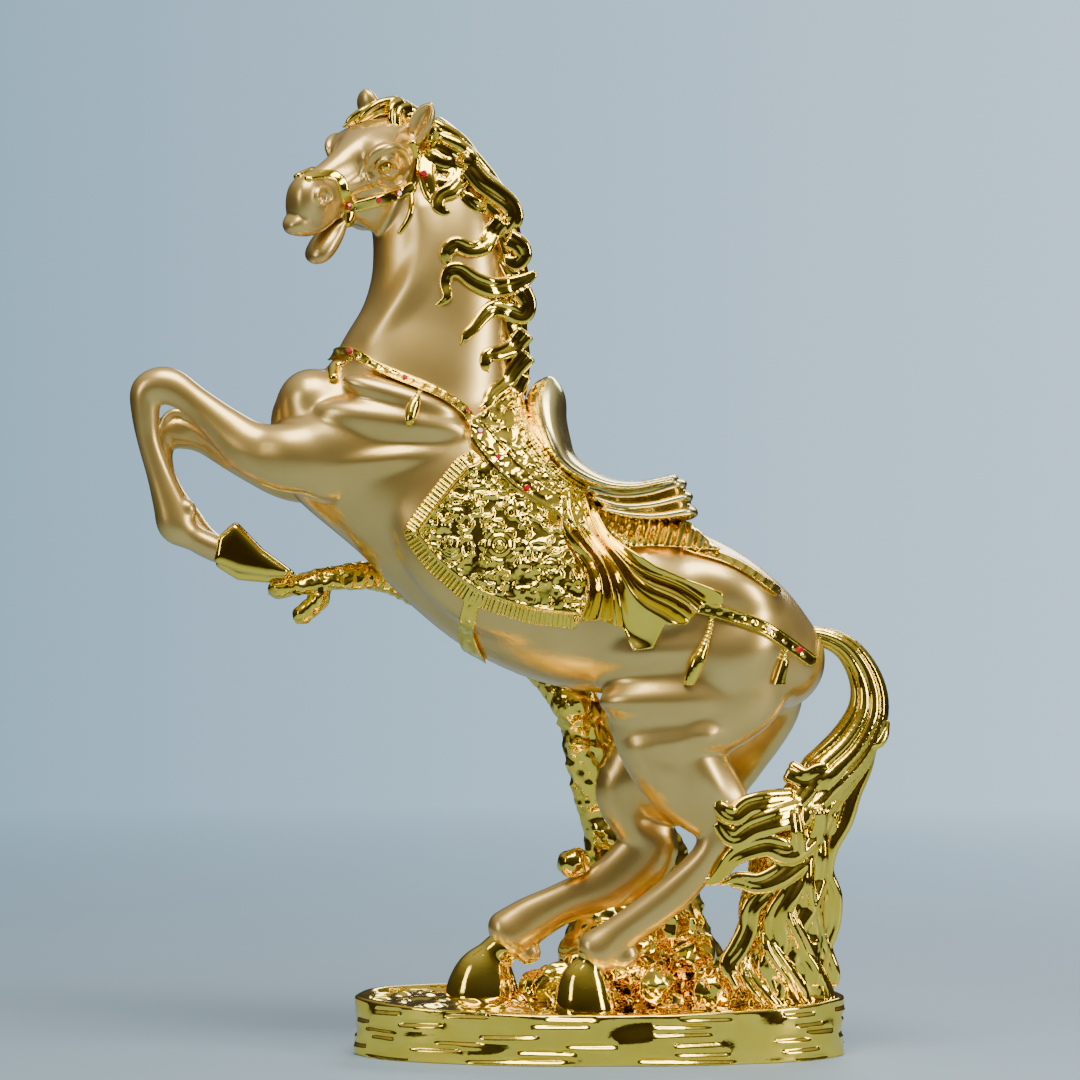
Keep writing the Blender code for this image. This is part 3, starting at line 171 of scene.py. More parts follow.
FAR_HIND_LEG = [
    (640, 600, 798, 640, 30, 40),
    (602, 665, 806, 690, 42, 38),
    (596, 710, 780, 735, 45, 34),
    (590, 750, 742, 772, 46, 28),
    (592, 785, 656, 782, 46, 24),
    (600, 812, 648, 804, 46, 20),
    (617, 836, 654, 824, 46, 17),
    (618, 850, 680, 846, 46, 16),
    (590, 867, 640, 900, 45, 14),
    (557, 882, 577, 921, 45, 13),
    (520, 898, 545, 940, 44, 14),
    (492, 914, 524, 956, 43, 18),
]
NEAR_FORELEG = [
    (372, 405, 385, 478, -46, 26),
    (330, 410, 345, 492, -50, 28),
    (286, 424, 300, 493, -50, 25),
    (262, 423, 248, 477, -48, 21),
    (236, 410, 222, 452, -45, 17),
    (203, 388, 190, 418, -42, 14),
    (172, 367, 164, 404, -40, 15),
    (134, 380, 160, 400, -38, 15),
    (131, 414, 160, 412, -37, 13),
    (137, 444, 161, 440, -36, 10),
    (147, 480, 172, 470, -35, 10),
    (154, 512, 187, 500, -34, 13),
    (161, 536, 193, 515, -33, 15),
    (182, 546, 202, 528, -31, 13),
    (212, 562, 222, 536, -29, 14),
]
FAR_FORELEG = [
    (372, 405, 385, 490, 46, 26),
    (330, 420, 338, 505, 50, 28),
    (288, 436, 296, 502, 50, 25),
    (262, 442, 246, 482, 48, 21),
    (238, 430, 221, 467, 44, 17),
    (208, 422, 196, 452, 40, 14),
    (184, 414, 178, 449, 37, 15),
    (150, 424, 172, 442, 35, 15),
    (147, 452, 173, 455, 33, 13),
    (152, 476, 176, 472, 31, 10),
    (162, 504, 187, 494, 28, 11),
    (172, 526, 202, 514, 24, 14),
    (185, 546, 212, 528, 20, 15),
    (212, 562, 226, 540, 17, 14),
]
NEAR_HIND_HOOF = [
    (578, 950, 600, 953, -42, 13),
    (577, 965, 602, 964, -42, 13),
    (560, 981, 609, 981, -42, 19),
    (555, 998, 614, 998, -42, 24),
    (553, 1014, 618, 1012, -42, 26),
]
FAR_HIND_HOOF = [
    (486, 940, 518, 956, 43, 15),
    (474, 953, 512, 962, 43, 15),
    (456, 970, 515, 974, 43, 20),
    (447, 986, 518, 987, 43, 24),
    (443, 1000, 521, 1000, 43, 26),
]

# Muscles on both sides: x, y, depth, half sizes along, across and up, tilt in degrees, and blend
MUSCLES = [
    (312, 403, 26, 34, 30, 34, 0, 12),
    (400, 397, 58, 60, 21, 15, -17, 7),
    (392, 421, 58, 74, 24, 21, -8, 8),
    (380, 460, 62, 66, 17, 13, 6, 7),
    (298, 456, 54, 38, 22, 26, -22, 10),
    (322, 486, 50, 20, 14, 13, -20, 8),
    (662, 700, 58, 62, 25, 20, 2, 10),
    (672, 742, 55, 46, 22, 16, 8, 9),
    (702, 735, 62, 17, 15, 12, 0, 10),
    (660, 650, 58, 60, 24, 18, 4, 14),
    (736, 652, 50, 48, 32, 36, 30, 12),
    (654, 765, 54, 20, 18, 34, 32, 9),
    (706, 775, 52, 15, 16, 36, 28, 9),
    (720, 590, 44, 60, 34, 34, -20, 9),
    (640, 590, 62, 60, 22, 40, -20, 14),
    (480, 560, 60, 90, 26, 60, -38, 14),
]
# Long raised forms on both sides: x, y, depth and thickness, with their blend
RIDGES = [
    ([(424, 212, 14, 13), (429, 246, 18, 16), (418, 284, 24, 18), (398, 314, 24, 17),
      (378, 340, 22, 14)], 9),
]
# Tendons inside the far foreleg, and the spurs behind the fetlocks
TENDONS = [
    [(161, 430, 24, 3), (165, 418, 24, 4), (176, 412, 24, 4.5), (192, 418, 26, 4.5),
     (216, 438, 30, 4), (228, 454, 32, 3)],
    [(163, 444, 26, 3), (167, 430, 26, 4), (178, 424, 26, 4.5), (196, 432, 28, 4.5),
     (220, 453, 32, 4), (234, 466, 34, 3)],
    [(166, 456, 30, 3), (170, 442, 30, 4), (182, 437, 30, 4.5), (200, 444, 32, 4.5), (226, 466, 36, 4)],
]
SPURS = [
    (190, 508, -34, 6, 9, 9, 30),
    (530, 955, 43, 12, 11, 9, 30),
    (626, 958, -42, 14, 11, 10, 30),
]

# The head has its own axes from the poll: along the face, up off the forehead and out to the near side
POLL = (393, 129, -6)
FACE_WAY = (-0.638, -0.525, -0.563)
CHEEK_WAY = (0.716, -0.673, -0.184)
HEAD_LONG = 0.945
HEAD_TALL = 1.05
HEAD_WIDE = 1.25
# Stations of the face: along, top, bottom, half width and the height where it is widest
FACE = [
    (-26, 0, -34, 8, -16),
    (-12, 10, -50, 19, -13),
    (8, 18, -54, 25, -9),
    (26, 22, -48, 28, -5),
    (45, 23, -42, 28, -5),
    (62, 21, -38, 21, -8),
    (80, 18, -36, 15.5, -10),
    (100, 17, -36, 13, -10),
    (118, 18, -35, 12.5, -8),
    (132, 20, -33, 15, -5),
    (143, 18, -31, 15, -5),
    (152, 12, -28, 13, -7),
    (159, 2, -26, 10, -10),
    (163, -8, -22, 5, -13),
]
UPPER_LIP = [
    (112, -12, -37, 10, -24),
    (132, -8, -37, 13, -24),
    (150, -5, -35, 13, -22),
    (162, -6, -30, 11.5, -18),
    (171, -9, -24, 8, -16),
    (176, -13, -19, 3, -16),
]
# Stations of round forms of the head: along, up, out and the radii up and out
LOWER_JAW = [
    (70, -52, 0, 16, 15),
    (92, -41, 0, 12, 12),
    (110, -42, 0, 9, 11),
    (124, -49, 0, 10, 12),
    (139, -54, 0, 11, 13),
    (150, -57, 0, 9, 11.5),
    (157, -58, 0, 4, 6),
]
MOUTH = [(112, -38, 0, 1.2, 20), (135, -38.5, 0, 1.8, 20), (170, -36, 0, 4, 20)]
# Round forms on both cheeks: along, up, out, half sizes along, up and out, and blend
CHEEKS = [(55, -45, 9, 36, 35, 12, 7), (48, 2, 21, 21, 14, 12, 8)]
CHEEK_RIDGE = [(66, -14, 20, 6), (98, -12, 12, 4)]

# The eye, the raised lines round it and the nostril, as drawn on the near cheek: x, y and half thickness
EYE = (386, 166, 6)
EYE_LINES = [
    [(375, 171, 1.2), (379, 163, 2.0), (386, 159.5, 2.4), (393, 162, 2.0), (398, 170, 1.2)],
    [(375, 171, 1.2), (381, 176, 1.7), (389, 176, 1.7), (398, 170, 1.2)],
    [(367, 168, 2), (371, 156, 3.6), (381, 149, 4.6), (393, 147, 4.6), (403, 153, 4), (408, 164, 2.6)],
    [(366, 166, 1.6), (363, 173, 2.2), (365, 180, 2.4), (371, 187, 1.6)],
    [(375, 182, 1.4), (387, 187, 2.2), (400, 183, 2.4), (408, 173, 1.8)],
]
NOSTRIL = (323, 198)
NOSTRIL_LINE = [
    (319, 204, 1.2), (316, 197, 1.9), (319, 190, 2.2), (326, 188, 2.2), (331, 193, 2.0), (331, 200, 1.6),
    (326, 203, 1.2), (323, 199, 1.0),
]
# Ears: root, middle and tip, and the way that each opens
EARS = [
    ((10, 12, -12), (7, 28, -13), (3, 42, -14), (0.5, 0.8, 0.1)),
    ((3, -12, 18), (-10, 6, 27), (-24, 20, 34), (-0.45, -0.88, 0.0)),
]
# Locks over the forehead: along, up, out and half thickness
FORELOCKS = [
    [(-6, 20, -2, 8), (4, 24, -4, 8), (14, 25, -7, 7), (24, 25, -11, 6), (33, 24, -15, 5), (42, 22, -18, 3)],
    [(-8, 22, 4, 8), (4, 27, 1, 7), (14, 27, -2, 6), (24, 25, -6, 5), (32, 23, -10, 3)],
    [(-10, 20, 8, 8), (0, 23, 10, 7), (8, 18, 13, 6), (12, 10, 15, 5), (18, 4, 18, 4),
     (26, 2, 20, 3), (30, -2, 21, 2)],
    [(-16, 12, 10, 8), (-6, 16, 12, 7), (2, 12, 15, 6), (8, 4, 17, 5), (14, 2, 19, 3)],
    [(-12, 16, -2, 9), (-18, 8, 4, 11), (-24, -4, 9, 12), (-28, -14, 12, 10)],
]

# Straps of the bridle, as drawn on the near cheek: x, y and half width
BRIDLE = [
    [(309, 178, 4.8), (316, 175.5, 5.3), (325, 175, 5.6), (334, 176, 5.9), (341, 182, 5.9), (345, 195, 6.2),
     (349, 208, 6.4), (349, 222, 5.6)],
    [(349, 208, 5.9), (360, 205, 6.4), (376, 201, 6.7), (391, 196, 6.7), (402, 192, 6.4), (411, 188, 6.2)],
    [(411, 189, 4.5), (414, 180, 4.8), (416, 168, 4.8), (416, 156, 4.5), (413, 143, 4.2)],
    [(411, 190, 2.8), (412, 200, 3.4), (411, 211, 3.4), (407, 222, 3.4), (400, 232, 3.1)],
]

# Middles of round forms, as drawn: x, y, depth, half thickness in the sheet, half thickness across
TAIL = [
    (797, 636, -2, 9, 9),
    (822, 637, -2, 10, 11),
    (848, 650, -2, 13, 14),
    (866, 680, -2, 17, 17),
    (868, 712, -4, 21, 20),
    (852, 745, -8, 25, 24),
    (826, 776, -14, 29, 27),
    (806, 808, -18, 33, 30),
    (792, 842, -18, 38, 32),
    (788, 880, -14, 42, 32),
    (786, 920, -10, 44, 34),
    (782, 960, -8, 50, 38),
    (778, 1000, -6, 56, 42),
]
SADDLE = [
    (549, 385, 0, 9, 20),
    (546, 401, 0, 20, 34),
    (547, 421, 0, 20, 50),
    (553, 442, 0, 18, 60),
    (563, 461, 0, 14, 64),
    (581, 475, 0, 11, 67),
    (606, 485, 0, 8, 69),
    (632, 487, 0, 6, 70),
    (655, 483, 0, 5, 68),
    (673, 479, 0, 5, 62),
]
CANTLE_FOLDS = [
    [(586, 489, 0, 4, 58), (616, 496, 0, 5, 62), (645, 494, 0, 6, 62), (672, 486, 0, 7, 60),
     (682, 484, 0, 5, 54)],
    [(592, 498, 0, 4, 62), (620, 506, 0, 6, 66), (650, 505, 0, 7, 66), (680, 498, 0, 8, 62),
     (688, 497, 0, 5, 56)],
    [(600, 509, 0, 3, 66), (628, 515, 0, 6, 70), (656, 516, 0, 7, 69), (684, 512, 0, 9, 63),
     (693, 513, 0, 5, 56)],
]
MANE_CREST = [
    (434, 128, 0, 12, 16),
    (456, 148, 0, 14, 20),
    (474, 172, 0, 14, 20),
    (492, 198, 0, 15, 20),
    (502, 222, 0, 14, 18),
    (506, 250, 0, 14, 18),
    (512, 278, 0, 14, 20),
    (510, 305, 0, 14, 20),
    (513, 335, 0, 13, 20),
    (517, 362, 0, 12, 20),
    (514, 392, 0, 12, 22),
    (500, 415, 0, 10, 30),
]
TREE = [
    (568, 668, 52, 17, 18),
    (580, 715, 62, 22, 22),
    (596, 765, 72, 26, 24),
    (622, 812, 78, 38, 26),
    (636, 860, 78, 50, 28),
    (638, 905, 72, 60, 32),
    (638, 950, 62, 78, 42),
    (640, 1000, 52, 98, 54),
]
BRANCH = [
    (278, 589, 0, 9, 9),
    (304, 584, 2, 10, 10),
    (345, 578, 12, 12, 12),
    (385, 577, 34, 14, 14),
    (425, 594, 62, 15, 15),
    (470, 620, 84, 16, 15),
    (520, 650, 86, 17, 16),
    (552, 676, 66, 18, 18),
    (575, 705, 46, 20, 20),
]
TWIG = [
    (322, 584, 4, 9, 9),
    (318, 600, 2, 9, 9),
    (302, 614, 0, 9, 9),
]
KNOTS = [
    (574, 862, 34, 13),
    (560, 985, 0, 22),
    (540, 990, 30, 18),
    (690, 955, 10, 22),
    (712, 992, -14, 20),
    (655, 985, -38, 18),
    (622, 965, -20, 22),
    (672, 925, -8, 22),
]

# Locks of the mane on each side, by x, y and half thickness: they lie on the neck
MANE_LOCKS = [
    [(420, 140, 5), (430, 134, 8), (441, 142, 9), (455, 153, 9), (468, 158, 8), (476, 172, 6)],
    [(424, 152, 5), (432, 160, 8), (444, 166, 8), (456, 166, 8), (464, 176, 7), (462, 188, 5)],
    [(462, 180, 8), (452, 190, 7), (441, 196, 6), (438, 206, 5), (446, 213, 3.5), (450, 212, 2)],
    [(432, 148, 6), (446, 154, 8), (456, 165, 8), (456, 178, 7), (447, 186, 6), (438, 181, 5),
     (440, 173, 4)],
    [(427, 158, 6), (426, 174, 7), (430, 190, 7), (437, 202, 6), (443, 212, 4), (450, 212, 3)],
    [(470, 168, 8), (482, 182, 9), (496, 192, 9), (510, 204, 8), (515, 218, 7), (508, 230, 6)],
    [(508, 210, 8), (492, 211, 8), (478, 207, 7), (468, 199, 6), (462, 190, 4)],
    [(500, 222, 7), (491, 234, 8), (484, 246, 8), (470, 250, 7), (456, 245, 7), (447, 252, 6), (447, 262, 4),
     (454, 267, 3)],
    [(510, 240, 8), (520, 246, 8), (524, 256, 7), (517, 264, 6), (509, 260, 5), (510, 253, 3)],
    [(535, 273, 3), (523, 281, 6), (509, 286, 8), (492, 288, 9), (474, 281, 8), (460, 271, 7), (449, 272, 6),
     (445, 284, 5), (447, 296, 4.5), (440, 303, 3), (434, 306, 2)],
    [(522, 292, 8), (528, 304, 7), (524, 316, 7), (510, 312, 8), (494, 309, 7), (484, 316, 6), (474, 328, 5),
     (466, 335, 4.5), (461, 345, 2.5)],
    [(524, 334, 8), (514, 346, 8), (500, 353, 7), (488, 356, 6), (485, 367, 4), (489, 372, 2.5)],
    [(526, 356, 8), (516, 368, 8), (506, 382, 7), (494, 392, 6), (488, 402, 5), (480, 408, 3)],
    [(522, 376, 7), (514, 392, 8), (502, 402, 7), (492, 412, 6), (480, 418, 4)],
]
# Locks of the tail, by x, y, depth and half thickness
TAIL_LOCKS = [
    [(790, 800, -40, 10), (768, 802, -52, 10), (748, 806, -60, 9), (735, 816, -64, 8), (724, 812, -65, 7),
     (720, 804, -64, 5), (727, 801, -62, 3)],
    [(800, 812, -40, 11), (776, 820, -54, 11), (752, 828, -60, 10), (734, 838, -62, 9), (722, 828, -62, 7),
     (718, 816, -62, 5)],
    [(812, 830, -36, 12), (790, 850, -48, 12), (768, 846, -56, 10), (750, 850, -60, 9), (733, 858, -60, 8),
     (722, 872, -58, 6), (712, 880, -54, 5), (697, 878, -50, 3)],
    [(800, 856, -40, 12), (778, 876, -50, 11), (758, 884, -54, 9), (738, 880, -54, 7), (722, 884, -52, 5)],
    [(881, 722, -8, 7), (876, 738, -16, 9), (858, 742, -22, 9), (850, 754, -24, 8), (848, 770, -22, 8),
     (836, 782, -24, 8)],
    [(866, 742, -2, 9), (860, 766, -6, 10), (850, 792, -10, 10), (842, 820, -12, 10), (828, 846, -14, 10),
     (824, 872, -12, 9), (832, 896, -10, 9), (830, 924, -8, 9), (822, 948, -8, 9), (832, 975, -8, 7),
     (826, 996, -8, 5)],
    [(790, 772, -30, 9), (806, 778, -36, 9), (820, 772, -36, 8), (834, 776, -32, 7)],
    [(800, 870, -38, 10), (788, 896, -44, 10), (776, 918, -44, 10), (778, 944, -42, 10), (768, 968, -44, 9),
     (774, 992, -44, 7)],
    [(815, 880, -30, 9), (806, 908, -36, 10), (796, 930, -38, 10), (800, 955, -36, 9), (812, 975, -34, 8),
     (806, 996, -34, 6)],
    [(768, 890, -36, 9), (752, 908, -38, 9), (748, 930, -38, 9), (738, 950, -40, 9), (728, 966, -42, 8),
     (736, 986, -44, 7)],
]

# Outlines of flat pieces laid on the back, as drawn on the near side
FLAP = [
    (473, 449), (456, 459), (407, 522), (404, 534), (409, 547), (427, 570), (461, 599), (490, 612),
    (532, 624), (574, 629), (584, 616), (588, 600), (584, 573), (566, 543), (556, 512),
    (514, 488), (487, 461),
]
BAND = [
    (470, 420), (512, 390), (534, 388), (536, 424), (552, 452), (578, 478), (600, 500), (575, 530),
    (556, 514),
    (514, 489), (487, 462), (471, 441),
]
SKIRT_STEP = 11
SKIRT = [
    (590, 505), (640, 505), (690, 520), (722, 550), (690, 548), (655, 546), (630, 547), (606, 528),
]
DRAPE = [
    (564, 484), (590, 492), (607, 528), (628, 547), (654, 565), (682, 577), (722, 592), (722, 604),
    (700, 606), (686, 624), (664, 624), (652, 648), (632, 650), (622, 628), (600, 620), (574, 622),
    (585, 602), (587, 583), (583, 565), (570, 546), (561, 528), (559, 509),
]
DRAPE_LEFT = [(562, 484), (556, 509), (558, 530), (568, 548), (582, 566), (586, 585), (583, 604), (576, 624)]
DRAPE_RIGHT = [(590, 490), (607, 526), (628, 545), (654, 563), (682, 575), (724, 592)]
DRAPE_FOLDS = 5.2
DRAPE_RISE = 0.0042
SADDLE_CORD = [(522, 394), (526, 426), (541, 452), (562, 474), (586, 490)]
BAND_LINE = [(471, 440), (488, 462), (516, 490), (560, 518)]
FLAP_EDGE = [(470, 452), (456, 460), (408, 522), (405, 535), (411, 548), (428, 569), (462, 597), (490, 610),
             (532, 622), (574, 627)]
# The blanket's ornament: its fringe, its rim, the rosette's place and radius, the scrolls with their turns
FRINGE_WIDTH = 13
FRINGE_STEP = 4.4
RIM_WIDTH = 4
ROSETTE = (500, 545, 22)
SCROLLS = [(468, 506, 12, 1), (452, 548, 13, -1), (480, 580, 11, 1), (528, 596, 12, -1), (552, 566, 12, 1),
           (524, 516, 10, -1), (493, 489, 8, 1)]
# Outlines of the fore hooves
NEAR_FORE_HOOF = [
    (218, 537), (236, 521), (263, 549), (293, 571), (286, 577), (268, 577), (240, 572), (214, 562),
]
FAR_FORE_HOOF = [
    (218, 545), (240, 530), (265, 552), (296, 573), (288, 582), (270, 583), (238, 580), (216, 566),
]
# The depth at which flat pieces and straps are drawn
DRAWN_DEPTH = -60

# Middle lines of the straps, as drawn on the near side
BREAST_STRAP = [
    (322, 354), (334, 350), (348, 350), (362, 357), (376, 366), (402, 377), (425, 386), (448, 397),
    (466, 411), (474, 424),
]
CRUPPER_STRAP = [(683, 603), (720, 612), (765, 628), (812, 660)]
GIRTH_STRAP = [(474, 596), (468, 618), (466, 640), (478, 668)]
CROUP_ROPE = [(686, 546), (735, 562), (778, 590)]

# Tassels hang on the coat: x, y and half thickness of each bead
TASSELS = [
    [(352, 358, 3), (345, 363, 3), (336, 368, 7), (334, 378, 6)],
    [(421, 388, 3), (417, 398, 4), (413, 408, 7), (410, 420, 5), (408, 427, 2)],
    [(712, 616, 3), (709, 632, 4), (704, 646, 5), (697, 662, 8), (690, 680, 6), (687, 688, 2)],
    [(785, 646, 3), (784, 662, 5), (780, 676, 6), (776, 692, 8), (772, 702, 4)],
]


def at(x, y, depth):
    """The place in the frame, in squares, of a point drawn at x, y."""
    grow = 1 + depth / EYE_DISTANCE
    return np.array([(x - EYE_X) * grow + SHEET_SHIFT, depth, (EYE_Y - y) * grow + EYE_HEIGHT])


def from_edges(rows):
    """Stations with their radii, from rows of opposite edges."""
    stations = []
    for x1, y1, x2, y2, depth, across in rows:
        middle = at((x1 + x2) / 2, (y1 + y2) / 2, depth)
        stations.append((*middle, math.hypot(x1 - x2, y1 - y2) / 2, across))
    return stations


def from_middles(rows):
    """Stations with their radii, from rows of middles."""
    return [(*at(x, y, depth), radius, across) for x, y, depth, radius, across in rows]


def round_rows(rows, flat=1.0):
    """Stations with their radii, from rows that end in the half thickness in the sheet."""
    return [(*at(x, y, depth), radius, radius * flat) for x, y, depth, radius in rows]


def unit(vector):
    return np.asarray(vector, float) / np.linalg.norm(vector)


POLL_AT = at(*POLL)
FACEWARD = unit(FACE_WAY)
CHEEKWARD = unit(np.array(CHEEK_WAY) - FACEWARD * (FACEWARD @ np.array(CHEEK_WAY)))
BROWWARD = np.cross(FACEWARD, CHEEKWARD)

HEAD_AXES = (FACEWARD * HEAD_LONG, BROWWARD * HEAD_TALL, CHEEKWARD * HEAD_WIDE)


def on_head(along, up, out):
    """The place of a point given by the head's own axes."""
    return POLL_AT + HEAD_AXES[0] * along + HEAD_AXES[1] * up + HEAD_AXES[2] * out


def from_head(places):
    """Grid coordinates by the head's own axes."""
    offsets = [places[n] - POLL_AT[n] for n in range(3)]
    return [sum(axis[n] * offsets[n] for n in range(3)) / (axis @ axis) for axis in HEAD_AXES]


def smooth_min(a, b, blend):
    if blend <= 0:
        return np.minimum(a, b)
    near = np.maximum(blend - np.abs(a - b), 0.0) / blend
    return np.minimum(a, b) - near * near * blend * 0.25


def smooth_max(a, b, blend):
    return -smooth_min(-a, -b, blend)


def spline(points, steps):
    """A smooth line through rows of numbers, with so many steps to a span."""
    p = np.asarray(points, float)
    q = np.vstack([2 * p[0] - p[1], p, 2 * p[-1] - p[-2]])
    t = (np.arange(steps) / steps)[:, None]
    spans = []
    for a, b, c, d in zip(q[:-3], q[1:-2], q[2:-1], q[3:]):
        bend = (2 * a - 5 * b + 4 * c - d) * t**2 + (3 * b - a - 3 * c + d) * t**3
        spans.append(0.5 * (2 * b + (c - a) * t + bend))
    return np.vstack(spans + [p[-1:]])


def outline_distance(points, x, z):
    """Distance to a closed outline, negative inside it."""
    p = np.asarray(points, float)
    nearest = np.full(x.shape, 1e9)
    inside = np.zeros(x.shape, bool)
    for (x1, z1), (x2, z2) in zip(p, np.roll(p, -1, 0)):
        ex = x2 - x1
        ez = z2 - z1
        t = np.clip(((x - x1) * ex + (z - z1) * ez) / (ex * ex + ez * ez), 0, 1)
        nearest = np.minimum(nearest, (x - x1 - ex * t) ** 2 + (z - z1 - ez * t) ** 2)
        if z1 != z2:
            inside ^= ((z1 > z) != (z2 > z)) & (x < ex * (z - z1) / ez + x1)
    return np.where(inside, -1, 1) * np.sqrt(nearest)


def line_run(points, x, z):
    """Distance to an open line, and how far along it the nearest place is."""
    p = np.asarray(points, float)
    nearest = np.full(x.shape, 1e9)
    run = np.zeros(x.shape)
    gone = 0.0
    for (x1, z1), (x2, z2) in zip(p[:-1], p[1:]):
        ex = x2 - x1
        ez = z2 - z1
        length = math.hypot(ex, ez)
        t = np.clip(((x - x1) * ex + (z - z1) * ez) / (ex * ex + ez * ez), 0, 1)
        distance = np.hypot(x - x1 - ex * t, z - z1 - ez * t)
        closer = distance < nearest
        nearest = np.where(closer, distance, nearest)
        run = np.where(closer, gone + length * t, run)
        gone += length
    return nearest, run


class Lumps:
    """Smooth random lumps of any size, the same at each run."""

    def __init__(self, seed):
        self.lattice = np.random.default_rng(seed).random((32, 32, 32), np.float32) * 2 - 1

    def at(self, places, size):
        found = self.lattice
        for n, axis in enumerate(places):
            spot = axis.ravel() / size
            cell = np.floor(spot).astype(int)
            share = (spot - cell).astype(np.float32)
            share = (share * share * (3 - 2 * share)).reshape([-1 if k == n else 1 for k in range(3)])
            found = np.take(found, cell % 32, n) * (1 - share) + np.take(found, (cell + 1) % 32, n) * share
        return found


ROCK = Lumps(7)


class Clay:
    """The form as a distance field on a grid, negative inside, in sheet squares."""

    def __init__(self, step, axes, field=None):
        self.step = step
        self.axes = axes
        self.low = np.array([axis[0] for axis in axes], float)
        empty = field is None
        self.field = np.full([len(axis) for axis in axes], FAR, np.float32) if empty else field

    def copy(self):
        return Clay(self.step, self.axes, self.field.copy())

    def block(self, low, high):
        """A copy of part of the form, on the same grid."""
        cuts, _ = self.window(low, high)
        return Clay(self.step, [axis[cut] for axis, cut in zip(self.axes, cuts)], self.field[cuts].copy())

    def window(self, low, high):
        """The slices of the grid between two corners, and the coordinates there."""
        cuts = []
        places = []
        for number, axis in enumerate(self.axes):
            cut = slice(int(np.searchsorted(axis, low[number])), int(np.searchsorted(axis, high[number])))
            shape = [1, 1, 1]
            shape[number] = -1
            cuts.append(cut)
            places.append(axis[cut].reshape(shape))
        return tuple(cuts), places

    def mix(self, shape, join, blend):
        low, high, field_of = shape
        reach = max(blend, 1.0) + 2 * self.step
        cuts, places = self.window(np.asarray(low) - reach, np.asarray(high) + reach)
        if all(cut.stop > cut.start for cut in cuts):
            self.field[cuts] = join(self.field[cuts], field_of(self, cuts, places), blend)

    def add(self, shape, blend=0.0):
        self.mix(shape, smooth_min, blend)

    def cut(self, shape, blend=0.0):
        self.mix(shape, lambda a, b, k: smooth_max(a, -b, k), blend)

    def soften(self, passes):
        """Evens out the ridges where stations meet."""
        for _ in range(passes):
            for axis in range(3):
                before = np.roll(self.field, 1, axis)
                after = np.roll(self.field, -1, axis)
                self.field = 0.25 * before + 0.5 * self.field + 0.25 * after

    def skin(self, side):
        """Depth of the outer surface over the sheet on one side (-1 near, 1 far), or nan."""
        solid = self.field < 0
        rows = solid if side < 0 else solid[:, ::-1]
        first = rows.argmax(1)
        axis = self.axes[1] if side < 0 else self.axes[1][::-1]
        return np.where(rows.any(1), axis[first], np.nan)


def empty_clay(low, high, step):
    return Clay(step, [np.arange(a, b, step) for a, b in zip(low, high)])


def ellipsoid(centre, radii, axes):
    centre = np.asarray(centre, float)
    axes = np.asarray(axes, float)
    radii = np.asarray(radii, float)
    reach = np.sqrt(((axes * radii[:, None]) ** 2).sum(0))

    def field_of(clay, cuts, places):
        near = 0
        far = 0
        for axis, radius in zip(axes, radii):
            along = sum(axis[n] * (places[n] - centre[n]) for n in range(3))
            near = near + (along / radius) ** 2
            far = far + (along / radius**2) ** 2
        near = np.sqrt(near)
        return near * (near - 1) / np.sqrt(np.maximum(far, 1e-12))

    return centre - reach, centre + reach, field_of


def muscle(x, y, depth, along, across, up, tilt):
    turn = math.radians(tilt)
    axes = [(math.cos(turn), 0, math.sin(turn)), (0, 1, 0), (-math.sin(turn), 0, math.cos(turn))]
    return ellipsoid(at(x, y, depth), (along, across, up), axes)


def head_ball(along, up, out, *radii):
    sizes = np.array(radii) * (HEAD_LONG, HEAD_TALL, HEAD_WIDE)
    return ellipsoid(on_head(along, up, out), sizes, [FACEWARD, BROWWARD, CHEEKWARD])


def limb(stations, steps=5, side=(0, 1, 0), furrow=None):
    """A tube with oval sections through stations of x, y, z, radius and radius along side."""
    rows = spline(stations, steps)
    centres = rows[:, :3]
    radii = np.maximum(rows[:, 3:5], 0.4)
    side = np.asarray(side, float)
    reach = radii.max(1)[:, None]
    lengths = np.linalg.norm(np.diff(centres, axis=0), axis=1)
    starts = np.concatenate([[0], np.cumsum(lengths)])

    def piece(clay, cuts, number):
        """Where the grid is near one piece of the tube, and its distances there."""
        a = centres[number]
        b = centres[number + 1]
        way = unit(b - a)
        across = unit(side - way * (side @ way))
        up = np.cross(way, across)
        margin = radii[number : number + 2].max() + 16
        found, places = clay.window(np.minimum(a, b) - margin, np.maximum(a, b) + margin)
        where = []
        offsets = []
        for n in range(3):
            start = max(found[n].start, cuts[n].start)
            stop = min(found[n].stop, cuts[n].stop)
            if stop <= start:
                return None
            where.append(slice(start - cuts[n].start, stop - cuts[n].start))
            keep = [slice(None)] * 3
            keep[n] = slice(start - found[n].start, stop - found[n].start)
            offsets.append(places[n][tuple(keep)] - a[n])
        along, u, v = (sum(axis[n] * offsets[n] for n in range(3)) for axis in (way, up, across))
        share = np.clip(along / lengths[number], 0, 1)
        ru, rv = (radii[number, k] + (radii[number + 1, k] - radii[number, k]) * share for k in (0, 1))
        rest = along - share * lengths[number]
        rc = np.minimum(ru, rv)
        near = np.sqrt((u / ru) ** 2 + (v / rv) ** 2 + (rest / rc) ** 2)
        far = np.sqrt((u / ru**2) ** 2 + (v / rv**2) ** 2 + (rest / rc**2) ** 2)
        distance = near * (near - 1) / np.maximum(far, 1e-6)
        if furrow:
            distance = distance + furrow(np.arctan2(v, u), starts[number] + share * lengths[number], rc)
        return tuple(where), distance

    def field_of(clay, cuts, places):
        field = np.full([cut.stop - cut.start for cut in cuts], FAR)
        for number in range(len(lengths)):
            found = piece(clay, cuts, number)
            if found:
                where, distance = found
                field[where] = np.minimum(field[where], distance)
        return field

    return (centres - reach).min(0), (centres + reach).max(0), field_of


